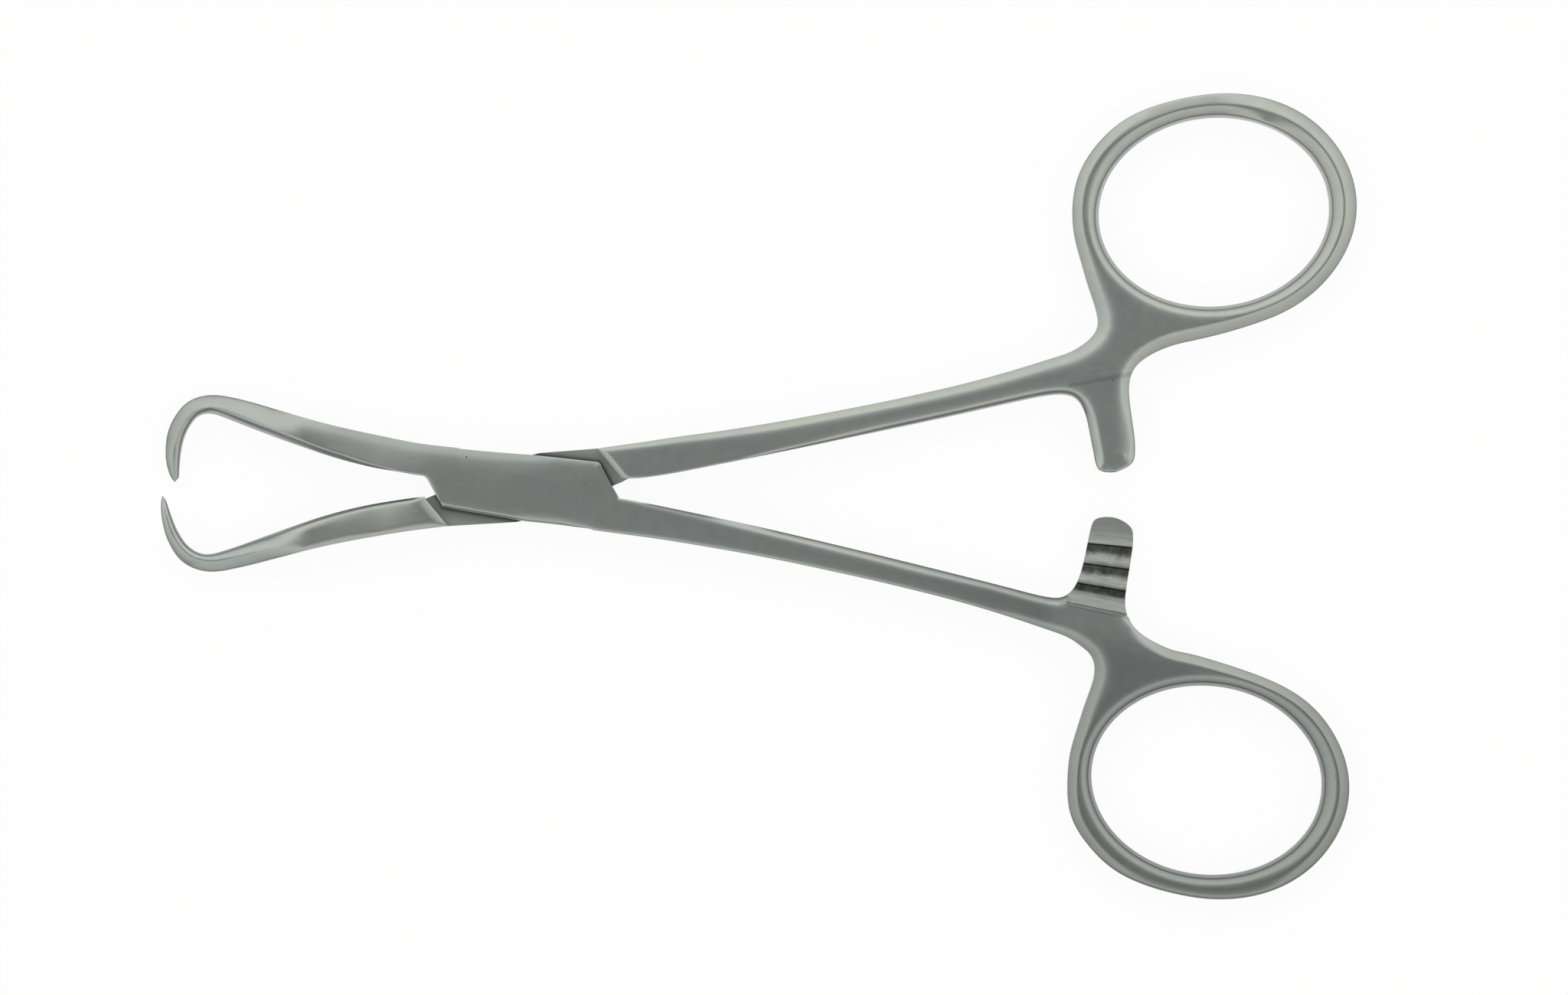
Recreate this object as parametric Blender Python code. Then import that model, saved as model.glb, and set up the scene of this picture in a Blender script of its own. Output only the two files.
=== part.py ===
"""Towel clamp with curved sharp hooks, 133 mm long when closed.

Two forged halves cross in a box lock and turn on one flush pin. The outer half has the
slot and its two cheeks, the inner half a thin tongue that runs through the slot. Lengths
are metres, written as millimetres times MM, and angles are degrees. The pin stands on the
origin along +Z, the finger rings point to +X, the hooks to -X, and the lock rests on z = 0.

Each half is drawn with its ring on the +Y side and its hook on the -Y side. The outer half
is then mirrored across the length of the clamp.
"""

import math

import bmesh
import bpy
from mathutils import Matrix, Vector

MM = 0.001

# Turn of the inner half from the drawn pose
CLOSING_ANGLE = 10.0
OPENING_ANGLE = 25.0

# Box lock: thicknesses, fits and the pin
LOCK_THICKNESS = 5.0 * MM
TONGUE_THICKNESS = 2.0 * MM
TONGUE_CLEARANCE = 0.10 * MM
SLOT_CLEARANCE = 0.12 * MM
SLOT_STEPS = 5
PIN_DIAMETER = 3.0 * MM
PIN_PRESS_CLEARANCE = 0.02 * MM
PIN_RUNNING_CLEARANCE = 0.05 * MM
CHEEK_EDGE = 0.15 * MM
FORGING_RELIEF = 0.04 * MM
SHOULDER_CHAMFER = 0.70 * MM

# Box lock: corners seen from above, with the ring side at +Y
SHOULDER_CORNER = (8.15 * MM, 4.38 * MM)
SHOULDER_CROTCH = (10.90 * MM, 1.10 * MM)
TONGUE_SHANK_CORNER = (10.90 * MM, 0.72 * MM)
TONGUE_JAW_CORNER = (-10.70 * MM, -1.40 * MM)
WAIST_RING_SIDE = (0.60 * MM, 3.65 * MM)
WAIST_HOOK_SIDE = (0.50 * MM, -3.75 * MM)
WAIST_CUT = 1.2 * MM
CHEEK_JAW_CORNER = (-8.68 * MM, 2.27 * MM)
CHEEK_JAW_CROTCH = (-10.80 * MM, -1.14 * MM)
CHEEK_SHANK_CORNER = (8.48 * MM, -2.88 * MM)
CHEEK_SHANK_CROTCH = (10.62 * MM, 1.10 * MM)
SHANK_HIDDEN_CORNER = (8.00 * MM, 3.40 * MM)
SHANK_HIDDEN_CROTCH = (8.00 * MM, 0.72 * MM)

# Shank: a slim bar along a ray from the pivot
SHANK_ANGLE = 12.1
SHANK_WIDTH = 3.0 * MM
SHANK_ROOT_FLARE = 0.85 * MM
SHANK_END_FLARE = 0.40 * MM
SHANK_THICKNESS = 3.9 * MM
SHANK_TAPER_START = 14.0 * MM
SHANK_TAPER_END = 50.0 * MM
EDGE_CHAMFER = 1.0 * MM

# Finger ring
RING_REACH = 82.0 * MM
RING_ANGLE = 22.45
RING_TILT = 6.6
RING_HOLE_LENGTH = 25.4 * MM
RING_HOLE_WIDTH = 20.8 * MM
RING_RIM_END = 3.0 * MM
RING_RIM_SIDE = 2.65 * MM

# Ratchet arm: an arc-shaped tab about the pivot, cut to less than half the thickness.
# Its inner side stands a setback in front of the ring's near end.
RATCHET_SETBACK = 3.5 * MM
RATCHET_RADIUS = RING_REACH - RING_HOLE_LENGTH / 2 - RING_RIM_END - RATCHET_SETBACK
RATCHET_WIDTH = 4.7 * MM
RATCHET_TIP_ANGLE = 2.15
RATCHET_BASE_ANGLE = 11.4
TOOTH_COUNT = 3
TOOTH_PITCH = 2.06
FIRST_CREST_ANGLE = 4.85
TOOTH_DROP = 0.70
TOOTH_HEIGHT = 0.60 * MM
CREST_CLEARANCE = 0.06 * MM

# Jaw and hook
JAW_REACH = 36.0 * MM
JAW_ANGLE = 14.0
HOOK_LEAN = 0.85 * MM
TIP_THICKNESS = 0.45 * MM

# Fineness of curves and rounds
CURVE_STEPS = 4
LOFT_STEPS = 2
PIN_SIDES = 48

STEEL_COLOUR = (0.56, 0.57, 0.56, 1.0)


def clear_scene():
    """Remove every object, so that the script can be run again."""
    for item in list(bpy.data.objects):
        bpy.data.objects.remove(item, do_unlink=True)


def satin_steel(name, roughness):
    """Brushed stainless steel."""
    material = bpy.data.materials.new(name)
    material.use_nodes = True
    shader = material.node_tree.nodes["Principled BSDF"]
    shader.inputs["Base Color"].default_value = STEEL_COLOUR
    shader.inputs["Metallic"].default_value = 1.0
    shader.inputs["Roughness"].default_value = roughness
    return material


def polar(radius, degrees):
    """Point at a radius and an angle about the pivot."""
    angle = math.radians(degrees)
    return Vector((radius * math.cos(angle), radius * math.sin(angle)))


def towards(start, end, distance):
    """Point at a distance from the start on the way to the end."""
    start = Vector(start)
    return start + (Vector(end) - start).normalized() * distance


def smooth_points(points):
    """Outline points that the curve passes smoothly."""
    return [(x, y, "AUTO") for x, y in points]


def corner_points(points):
    """Outline points where the curve has a corner."""
    return [(x, y, "VECTOR") for x, y in points]


def add_object(name, mesh):
    """Object of a mesh, linked to the scene."""
    item = bpy.data.objects.new(name, mesh)
    bpy.context.scene.collection.objects.link(item)
    return item


def mesh_from(name, bm):
    """Mesh of a bmesh, which is freed."""
    mesh = bpy.data.meshes.new(name)
    bm.to_mesh(mesh)
    bm.free()
    return mesh


def evaluated_mesh(item):
    """New mesh of an object with its modifiers or curve settings applied."""
    bpy.context.view_layer.update()
    graph = bpy.context.evaluated_depsgraph_get()
    return bpy.data.meshes.new_from_object(item.evaluated_get(graph))


def plate(name, outlines, thickness, chamfer=0.0):
    """Flat plate about the lock's mid-plane, its outlines filled and its edges chamfered."""
    curve = bpy.data.curves.new(name, "CURVE")
    curve.dimensions = "2D"
    curve.fill_mode = "BOTH"
    curve.bevel_resolution = 0
    curve.bevel_depth = chamfer
    curve.offset = -chamfer
    curve.extrude = thickness / 2 - chamfer
    for points in outlines:
        spline = curve.splines.new("BEZIER")
        spline.bezier_points.add(len(points) - 1)
        for knot, (x, y, handle_type) in zip(spline.bezier_points, points):
            knot.co = (x, y, 0.0)
            knot.handle_left_type = handle_type
            knot.handle_right_type = handle_type
        spline.use_cyclic_u = True
        spline.resolution_u = CURVE_STEPS
    guide = bpy.data.objects.new(name + "_guide", curve)
    bpy.context.scene.collection.objects.link(guide)
    bm = bmesh.new()
    bm.from_mesh(evaluated_mesh(guide))
    bpy.data.objects.remove(guide, do_unlink=True)
    bmesh.ops.remove_doubles(bm, verts=bm.verts, dist=0.001 * MM)
    bmesh.ops.translate(bm, verts=bm.verts, vec=(0.0, 0.0, LOCK_THICKNESS / 2))
    bmesh.ops.triangulate(bm, faces=bm.faces)
    return add_object(name, mesh_from(name, bm))


def loft(name, sections):
    """Closed solid through sections that all have the same number of points."""
    bm = bmesh.new()
    rings = [[bm.verts.new(point) for point in section] for section in sections]
    for near, far in zip(rings, rings[1:]):
        for i in range(len(near)):
            bm.faces.new((near[i - 1], near[i], far[i], far[i - 1]))
    bm.faces.new(rings[0])
    bm.faces.new(rings[-1])
    bmesh.ops.triangulate(bm, faces=bm.faces)
    bmesh.ops.recalc_face_normals(bm, faces=bm.faces)
    return add_object(name, mesh_from(name, bm))


def upright_cylinder(name, diameter, bottom, top):
    """Cylinder on the pivot axis between two heights."""
    bm = bmesh.new()
    bmesh.ops.create_cone(
        bm, cap_ends=True, segments=PIN_SIDES,
        radius1=diameter / 2, radius2=diameter / 2, depth=top - bottom,
        matrix=Matrix.Translation((0.0, 0.0, (top + bottom) / 2)),
    )
    return add_object(name, mesh_from(name, bm))


def combine(target, other, operation):
    """Boolean of two solids, kept in the first; the second is removed."""
    modifier = target.modifiers.new(operation.lower(), "BOOLEAN")
    modifier.operation = operation
    modifier.solver = "EXACT"
    modifier.object = other
    mesh = evaluated_mesh(target)
    target.modifiers.clear()
    target.data = mesh
    bpy.data.objects.remove(other, do_unlink=True)


def mirror(item, axis):
    """Mirror a solid in place, across the clamp's length or across the lock's mid-plane."""
    flip = Matrix.Diagonal((1.0, -1.0, 1.0, 1.0))
    if axis == "Z":
        flip = Matrix.Translation((0.0, 0.0, LOCK_THICKNESS)) @ Matrix.Diagonal((1.0, 1.0, -1.0, 1.0))
    item.data.transform(flip)
    item.data.flip_normals()


def shank_side(side):
    """Points along one side of the shank; side is 1 on the outside and -1 on the inside."""
    start = SHOULDER_CROTCH[0]
    across = polar(1.0, SHANK_ANGLE + 90)
    stations = (
        # share of the way to the ratchet, share of each flare, sideways shift
        (0.06, 1.00, 0.00, 0.45),
        (0.20, 0.45, 0.00, 0.10),
        (0.36, 0.15, 0.00, -0.08),
        (0.52, 0.03, 0.00, -0.07),
        (0.68, 0.00, 0.03, 0.03),
        (0.84, 0.00, 0.45, 0.32),
    )
    points = []
    for share, root, end, shift in stations:
        width = SHANK_WIDTH + root * SHANK_ROOT_FLARE + end * SHANK_END_FLARE
        along = polar(start + share * (RATCHET_RADIUS - start), SHANK_ANGLE)
        points.append(along + (side * width / 2 + shift * MM) * across)
    return points


def ring_point(degrees, rim):
    """Point of the ring's ellipse; rim is 0 at the finger hole and 1 on the outside."""
    angle = math.radians(degrees)
    along = (RING_HOLE_LENGTH / 2 + rim * RING_RIM_END) * math.cos(angle)
    across = (RING_HOLE_WIDTH / 2 + rim * RING_RIM_SIDE) * math.sin(angle)
    turned = Matrix.Rotation(math.radians(RING_TILT), 2) @ Vector((along, across))
    return polar(RING_REACH, RING_ANGLE) + turned


def ratchet_point(share, degrees):
    """Point of the ratchet arm, at a share of its width and an angle about the pivot."""
    return polar(RATCHET_RADIUS + share * RATCHET_WIDTH, degrees)


def handle_outline(root_corners):
    """Outline of shank, ratchet arm and ring, anticlockwise from the root of the shank."""
    tip = RATCHET_TIP_ANGLE
    shank_inside = smooth_points(shank_side(-1))
    crook = smooth_points([
        ratchet_point(-1.02, SHANK_ANGLE - 1.18),
        ratchet_point(-0.57, SHANK_ANGLE - 1.48),
        ratchet_point(-0.22, tip + 7.20),
        ratchet_point(-0.06, tip + 5.00),
    ])
    tab = corner_points([
        ratchet_point(0.00, tip + 2.60),
        ratchet_point(0.02, tip + 0.64),
        ratchet_point(0.27, tip + 0.04),
        ratchet_point(0.58, tip + 0.06),
        ratchet_point(0.94, tip + 0.85),
        ratchet_point(1.02, tip + 2.60),
    ])
    neck = smooth_points([
        ratchet_point(0.99, tip + 6.30),
        ratchet_point(1.07, tip + 9.40),
        ratchet_point(1.42, SHANK_ANGLE + 0.30),
    ])
    ring = smooth_points([ring_point(angle, 1.0) for angle in range(-96, 175, 18)])
    heel = smooth_points([
        ring_point(194, 1.15),
        ratchet_point(0.71, SHANK_ANGLE + 8.35),
        ratchet_point(0.68, SHANK_ANGLE + 4.95),
        ratchet_point(0.60, SHANK_ANGLE + 3.90),
        ratchet_point(0.13, SHANK_ANGLE + 2.95),
    ])
    shank_outside = smooth_points(reversed(shank_side(1)))
    return (corner_points(root_corners) + shank_inside + crook + tab + neck
            + ring + heel + shank_outside)


def taper_shank(item):
    """Thin the plate along the shank, about the lock's mid-plane."""
    middle = LOCK_THICKNESS / 2
    for vertex in item.data.vertices:
        run = (vertex.co.x - SHANK_TAPER_START) / (SHANK_TAPER_END - SHANK_TAPER_START)
        share = min(max(run, 0.0), 1.0)
        factor = 1.0 + share * (SHANK_THICKNESS / LOCK_THICKNESS - 1.0)
        vertex.co.z = middle + (vertex.co.z - middle) * factor


def ratchet_cutter():
    """Wedge-stepped solid over the ratchet arm that leaves the lower half and its teeth."""
    crest = LOCK_THICKNESS / 2 - CREST_CLEARANCE
    above = LOCK_THICKNESS + 1.0 * MM
    profile = [(RATCHET_TIP_ANGLE - 2.0, 0.35), (RATCHET_TIP_ANGLE + 0.8, 0.45)]
    for tooth in range(TOOTH_COUNT):
        angle = FIRST_CREST_ANGLE + tooth * TOOTH_PITCH
        profile += [(angle, 1.0), (angle + TOOTH_DROP, 0.0)]
    floors = [(angle, crest - (1.0 - height) * TOOTH_HEIGHT) for angle, height in profile]
    floors.append((RATCHET_BASE_ANGLE, crest - TOOTH_HEIGHT))
    floors.append((RATCHET_BASE_ANGLE + 1.0, LOCK_THICKNESS))
    sections = []
    for angle, floor in floors:
        near = ratchet_point(-0.75, angle)
        far = ratchet_point(1.60, angle)
        sections.append([(*near, floor), (*far, floor), (*far, above), (*near, above)])
    return loft("ratchet_cutter", sections)


def handle(name, root_corners):
    """Shank, ratchet arm and finger ring in one chamfered and tapered piece."""
    hole = smooth_points([ring_point(angle, 0.0) for angle in range(0, 360, 30)])
    thickness = LOCK_THICKNESS - 2 * FORGING_RELIEF
    item = plate(name, (handle_outline(root_corners), hole), thickness, EDGE_CHAMFER)
    taper_shank(item)
    combine(item, ratchet_cutter(), "DIFFERENCE")
    return item


def through(stations, steps):
    """Rows of numbers along a smooth curve that passes every given row."""
    rows = []
    last = len(stations) - 1
    for i in range(last):
        before = stations[max(i - 1, 0)]
        start = stations[i]
        end = stations[i + 1]
        after = stations[min(i + 2, last)]
        for step in range(steps):
            t = step / steps
            rows.append([
                b + 0.5 * t * ((c - a) + t * ((2 * a - 5 * b + 4 * c - d)
                                              + t * (3 * b - a - 3 * c + d)))
                for a, b, c, d in zip(before, start, end, after)
            ])
    rows.append(list(stations[last]))
    return rows


def rounded_section(outer, inner, middle, thickness, corner):
    """Rounded rectangle standing between two plan points, about a middle height."""
    across = (outer - inner).normalized()
    half_width = (outer - inner).length / 2
    radius = min(corner, half_width * 0.98, thickness / 2 * 0.98)
    points = []
    for turn in (0, 90, 180, 270):
        for step in (0, 30, 60, 90):
            angle = math.radians(turn + step)
            side = 1 if turn in (0, 270) else -1
            level = 1 if turn in (0, 90) else -1
            sideways = side * (half_width - radius) + radius * math.cos(angle)
            height = level * (thickness / 2 - radius) + radius * math.sin(angle)
            plan = (outer + inner) / 2 + sideways * across
            points.append((plan.x, plan.y, middle + height))
    return points


def jaw_rows(long_tip):
    """Jaw and hook rows: outside point, inside point, thickness and corner radius, in mm.

    A point is its distance along the jaw's ray and its distance to the outside of it.
    """
    reach = JAW_REACH / MM
    thick = (LOCK_THICKNESS - 2 * FORGING_RELIEF) / MM
    body = [
        (share * reach, outside, share * reach, inside, thickness, corner)
        for share, outside, inside, thickness, corner in (
            (0.35, 1.87, -1.72, thick, 0.40),
            (0.45, 1.60, -1.99, thick, 0.50),
            (0.54, 1.41, -2.07, 0.99 * thick, 0.60),
            (0.61, 1.32, -1.99, 0.93 * thick, 0.80),
            (0.68, 1.31, -1.80, 0.81 * thick, 1.05),
            (0.76, 1.36, -1.55, 0.71 * thick, 1.25),
            (0.85, 1.44, -1.20, 0.64 * thick, 1.25),
            (0.93, 1.38, -0.87, 0.59 * thick, 1.10),
        )
    ]
    bend = [
        (-0.10, 1.00, -0.90, -0.80, 2.75, 0.95),
        (0.95, 0.62, -0.10, -0.98, 2.60, 0.90),
        (1.98, -0.19, 0.72, -1.54, 2.45, 0.90),
    ]
    long_hook = [
        (2.86, -1.65, 1.49, -2.39, 2.10, 0.80),
        (3.38, -3.26, 2.00, -3.63, 1.70, 0.68),
        (3.54, -5.12, 2.32, -5.23, 1.35, 0.60),
        (3.36, -6.79, 2.52, -6.92, 0.90, 0.42),
        (2.95, -8.20, 2.75, -8.17, TIP_THICKNESS / MM, 0.09),
    ]
    short_hook = [
        (2.89, -1.50, 1.10, -2.47, 2.20, 0.85),
        (3.36, -3.36, 1.47, -3.88, 1.80, 0.80),
        (3.29, -5.47, 1.52, -5.34, 1.45, 0.70),
        (2.69, -7.48, 1.21, -7.22, 1.05, 0.52),
        (1.72, -9.03, 1.14, -9.00, TIP_THICKNESS / MM, 0.20),
    ]
    hook = bend + (long_hook if long_tip else short_hook)
    return body + [(a + reach, b, c + reach, d, *rest) for a, b, c, d, *rest in hook]


def jaw(name, long_tip, lean, root_sections):
    """Lofted jaw that thins from the lock's thickness into a pointed hook."""
    along = -polar(MM, JAW_ANGLE)
    across = -polar(MM, JAW_ANGLE + 90)
    sections = list(root_sections)
    for row in through(jaw_rows(long_tip), LOFT_STEPS):
        out_along, out_across, in_along, in_across, thickness, corner = row
        outer = out_along * along + out_across * across
        inner = in_along * along + in_across * across
        depth = min(max(-(out_across + in_across) / 11.0, 0.0), 1.0)
        middle = LOCK_THICKNESS / 2 + lean * depth
        sections.append(rounded_section(outer, inner, middle, thickness * MM, corner * MM))
    return loft(name, sections)


def shoulder_sections():
    """First jaw sections of the inner half, along the shoulder and past its chamfer."""
    outer = -Vector(SHOULDER_CORNER)
    inner = -Vector(SHOULDER_CROTCH)
    slide = -polar(1.25 * SHOULDER_CHAMFER, 6)
    middle = LOCK_THICKNESS / 2
    thickness = LOCK_THICKNESS - 2 * FORGING_RELIEF
    return [
        rounded_section(outer, inner, middle, thickness - 2 * SHOULDER_CHAMFER, 0.2 * MM),
        rounded_section(outer + slide, inner + slide, middle, thickness, 0.35 * MM),
    ]


def tongue_outline(clearance=0.0):
    """Tongue between the shoulders, let into jaw and shank, grown by a clearance."""
    corner = Vector(SHOULDER_CORNER)
    ring_waist = Vector(WAIST_RING_SIDE)
    hook_waist = Vector(WAIST_HOOK_SIDE)
    shank_corner = Vector(TONGUE_SHANK_CORNER)
    jaw_corner = Vector(TONGUE_JAW_CORNER)
    into = 1.2 * MM
    points = [
        shank_corner,
        shank_corner + polar(into, 30),
        corner + polar(into, 0),
        corner,
        towards(ring_waist, corner, WAIST_CUT),
        towards(ring_waist, jaw_corner, WAIST_CUT),
        jaw_corner,
        jaw_corner - polar(into, 10),
        -corner - polar(into, 0),
        -corner,
        towards(hook_waist, -corner, WAIST_CUT),
        towards(hook_waist, shank_corner, WAIST_CUT),
    ]
    return corner_points([point + clearance * point.normalized() for point in points])


def cheek_outline():
    """Lock plate of the outer half, let into its jaw and its shank."""
    shank_root = shank_side(1)[0]
    jaw_root = -polar(0.37 * JAW_REACH, JAW_ANGLE) - polar(1.6 * MM, JAW_ANGLE + 90)
    return corner_points([
        CHEEK_SHANK_CROTCH,
        shank_root - polar(0.8 * MM, SHANK_ANGLE + 60),
        SHOULDER_CORNER,
        WAIST_RING_SIDE,
        CHEEK_JAW_CORNER,
        CHEEK_JAW_CROTCH,
        jaw_root,
        (-SHOULDER_CORNER[0], -SHOULDER_CORNER[1]),
        WAIST_HOOK_SIDE,
        CHEEK_SHANK_CORNER,
    ])


def turned(outline, degrees):
    """An outline turned about the pivot."""
    turn = Matrix.Rotation(math.radians(degrees), 2)
    return [(*(turn @ Vector((x, y))), kind) for x, y, kind in outline]


def inner_half():
    """Half with the tongue, the longer hook and the upper ratchet."""
    item = handle("male_half", (SHOULDER_CORNER, SHOULDER_CROTCH))
    mirror(item, "Z")
    tongue = plate("tongue", (tongue_outline(),), TONGUE_THICKNESS)
    combine(item, tongue, "UNION")
    combine(item, jaw("jaw", True, HOOK_LEAN, shoulder_sections()), "UNION")
    bore = PIN_DIAMETER + 2 * PIN_RUNNING_CLEARANCE
    combine(item, upright_cylinder("bore", bore, -MM, LOCK_THICKNESS + MM), "DIFFERENCE")
    return item


def outer_half():
    """Half with the slot and cheeks, the shorter hook and the lower ratchet."""
    item = handle("female_half", (SHANK_HIDDEN_CORNER, SHANK_HIDDEN_CROTCH))
    cheeks = plate("cheeks", (cheek_outline(),), LOCK_THICKNESS, CHEEK_EDGE)
    combine(item, cheeks, "UNION")
    combine(item, jaw("jaw", False, -HOOK_LEAN, ()), "UNION")
    mirror(item, "Y")
    slot = TONGUE_THICKNESS + 2 * TONGUE_CLEARANCE
    for step in range(SLOT_STEPS):
        share = step / (SLOT_STEPS - 1)
        angle = -CLOSING_ANGLE + share * (CLOSING_ANGLE + OPENING_ANGLE)
        swept = turned(tongue_outline(SLOT_CLEARANCE), angle)
        combine(item, plate("slot_cutter", (swept,), slot), "DIFFERENCE")
    bore = PIN_DIAMETER + 2 * PIN_PRESS_CLEARANCE
    combine(item, upright_cylinder("bore", bore, -MM, LOCK_THICKNESS + MM), "DIFFERENCE")
    return item


def main():
    """Build the clamp and file its pieces in one collection."""
    clear_scene()
    collection = bpy.data.collections.new("towel_clamp")
    bpy.context.scene.collection.children.link(collection)
    pieces = {
        outer_half(): satin_steel("satin_steel_outer", 0.34),
        inner_half(): satin_steel("satin_steel_inner", 0.34),
        upright_cylinder("lock_pin", PIN_DIAMETER, 0.0, LOCK_THICKNESS):
            satin_steel("ground_steel_pin", 0.28),
    }
    for item, material in pieces.items():
        bpy.context.scene.collection.objects.unlink(item)
        collection.objects.link(item)
        item.data.materials.clear()
        item.data.materials.append(material)
        item.data.shade_smooth()
        item.data.set_sharp_from_angle(angle=math.radians(25.0))


main()
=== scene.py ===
"""Towel clamp with curved sharp hooks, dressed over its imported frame.

Two satin steel halves cross in a box lock and turn on a flush pin. Sizes below are
millimetres and become metres when a mesh is made. Every half is drawn with its finger ring
on the +Y side and its hook on the -Y side, as in the source; the outer half, which has the
slot, is then mirrored across the length of the clamp.

Each half is one outline with a ground edge all round it. The edge is a section carried along
the outline: its slope at every distance from the outline changes from station to station.
The height of the steel over a plan point follows from the point's distance to each side.
"""
import logging
import math
from dataclasses import dataclass
from enum import Enum
from typing import Iterable, Sequence

import bmesh
import bpy
import numpy as np
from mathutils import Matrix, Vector
from mathutils.geometry import delaunay_2d_cdt


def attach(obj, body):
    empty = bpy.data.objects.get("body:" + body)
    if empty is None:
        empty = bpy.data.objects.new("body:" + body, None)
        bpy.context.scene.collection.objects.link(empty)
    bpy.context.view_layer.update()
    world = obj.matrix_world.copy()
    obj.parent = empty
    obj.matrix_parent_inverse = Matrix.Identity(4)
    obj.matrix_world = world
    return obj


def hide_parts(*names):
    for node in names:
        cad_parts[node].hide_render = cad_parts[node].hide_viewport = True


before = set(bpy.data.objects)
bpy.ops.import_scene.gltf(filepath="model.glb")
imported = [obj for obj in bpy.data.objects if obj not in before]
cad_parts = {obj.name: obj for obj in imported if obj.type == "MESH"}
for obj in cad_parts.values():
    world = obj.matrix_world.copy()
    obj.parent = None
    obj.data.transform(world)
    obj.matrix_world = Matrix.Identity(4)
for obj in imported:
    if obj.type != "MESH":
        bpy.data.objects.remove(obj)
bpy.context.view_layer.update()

Array = np.ndarray
Row = tuple
MM = 0.001
LOG = logging.getLogger("towel_clamp")

MIDDLE = 2.5                      # height of the lock's mid-plane
FORGING = 2.46                    # half thickness beside the lock
SHANK = 1.95                      # half thickness of the shanks and the finger rings
THINNEST = 0.05                   # half thickness left at the lowest edge
TONGUE_HALF = 1.0                 # half thickness of the tongue
SLOT_GAP = 0.1                    # gap over and under the tongue
BORE_GAPS = 0.003, 0.05           # gap of the pin in the cheeks' bores and in the tongue's
CLOSING, OPENING = 10.0, 25.0     # turn of the inner half, degrees
CREASE = math.radians(32.0)       # faces that meet at more than this have a crease
UPRIGHT = 0.1                     # rise of the normal below which a face is an upright wall

# Distances from the outline at which an edge's depth is kept
DEPTHS = np.array([0.0, 0.05, 0.11, 0.18, 0.26, 0.35, 0.45, 0.56, 0.68, 0.81, 0.95, 1.10, 1.27,
                   1.46, 1.68, 1.95, 2.3, 2.7, 3.2, 3.8, 4.5])
ROWS = slice(1, -4)               # those at which a row of mesh points follows the outline
DENSE = 0.6                       # up to this distance a row keeps every point
GRID_FROM = DEPTHS[-5] + 0.2      # distance from the outline at which the grid begins
GRID_ROW = 0.866                  # height of a row of the grid as a share of its spacing
SNAP = 8e-3                       # plan points nearer than this become one
CHUNK = 1500                      # plan points that are measured together
MERGED = 2e-7                     # mesh points nearer than this become one, metres
SLIVER = 1e-8                     # an edge shorter than this is dissolved, metres


class Face(Enum):
    """The two faces of a flat forging, by the direction that they look in."""

    TOP = 1.0
    UNDER = -1.0


class Cut(Enum):
    """What a Boolean does with the second solid."""

    JOIN = "UNION"
    REMOVE = "DIFFERENCE"


# Edges and outlines

@dataclass(frozen=True)
class Edge:
    """A ground edge, given by its slope in degrees at rising distances from the outline.

    The slope changes evenly between the rows and is zero after the last one. The depth
    below the flat at a distance is the slope's tangent summed from there inwards.
    """

    rows: tuple

    def scaled(self, factor: float) -> "Edge":
        """The same slopes at distances multiplied by a factor."""
        return Edge(tuple((at * factor, slope) for at, slope in self.rows))

    def depth(self) -> Array:
        """Depth below the flat, summed inwards from the slope's tangent.

        Returns:
            The depth at each of the kept distances.
        """
        at, slope = np.array(self.rows, dtype=float).T
        fine = np.linspace(0.0, DEPTHS[-1], 901)      # every 0.005 mm
        tangent = np.tan(np.radians(np.interp(fine, at, slope)))
        tangent[fine > at[-1]] = 0.0
        area = np.append(0.0, np.cumsum((tangent[1:] + tangent[:-1]) / 2 * fine[1]))
        return np.interp(DEPTHS, fine, area[-1] - area)


# Bevel with a soft crease, for a width of one millimetre
GROUND = Edge(((0, 33), (0.35, 29), (0.75, 21), (0.95, 13), (1.15, 8), (1.5, 4), (2.1, 0)))
# Small round that a soft roll follows, for a round of one millimetre
ROLLED = Edge(((0, 62), (0.4, 45), (0.8, 38), (1.0, 24), (1.2, 11), (1.6, 7), (2.4, 4), (4, 0)))
# Bevel with a crisp crease
CRISP = Edge(((0, 38), (0.3, 34), (0.6, 29), (0.75, 20), (0.9, 10), (1.1, 3), (1.4, 0)))
# Broken corner
BROKEN = Edge(((0, 40), (0.10, 20), (0.2, 6), (0.6, 2), (1.0, 0)))


def spline(knots: Array, values: Array, at: Array) -> Array:
    """Natural cubic spline through rows of values, solved for all columns at once.

    Args:
        knots: Rising parameter of each row.
        values: Rows that the curve passes.
        at: Parameters at which the curve is wanted.

    Returns:
        Rows of the curve.
    """
    gaps = np.diff(knots)
    count = len(knots)
    matrix = np.eye(count)
    inner = np.arange(1, count - 1)
    matrix[inner, inner - 1] = gaps[:-1]
    matrix[inner, inner] = 2.0 * (gaps[:-1] + gaps[1:])
    matrix[inner, inner + 1] = gaps[1:]
    slopes = np.diff(values, axis=0) / gaps[:, None]
    right = np.zeros_like(values)
    right[1:-1] = 6.0 * np.diff(slopes, axis=0)
    bend = np.linalg.solve(matrix, right)
    i = np.clip(np.searchsorted(knots, at) - 1, 0, count - 2)
    gap = gaps[i][:, None]
    a = (knots[i + 1] - at)[:, None] / gap
    b = 1.0 - a
    cubic = ((a ** 3 - a) * bend[i] + (b ** 3 - b) * bend[i + 1]) * gap ** 2 / 6.0
    return a * values[i] + b * values[i + 1] + cubic


def edged(rows: Iterable[Row], marks: Iterable[int], edges: dict[int, Edge]) -> list[Row]:
    """Rows (x, y), with an edge added to each whose mark is listed."""
    return [(*row, edges[mark]) if mark in edges else (*row,) for row, mark in zip(rows, marks)]


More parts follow.
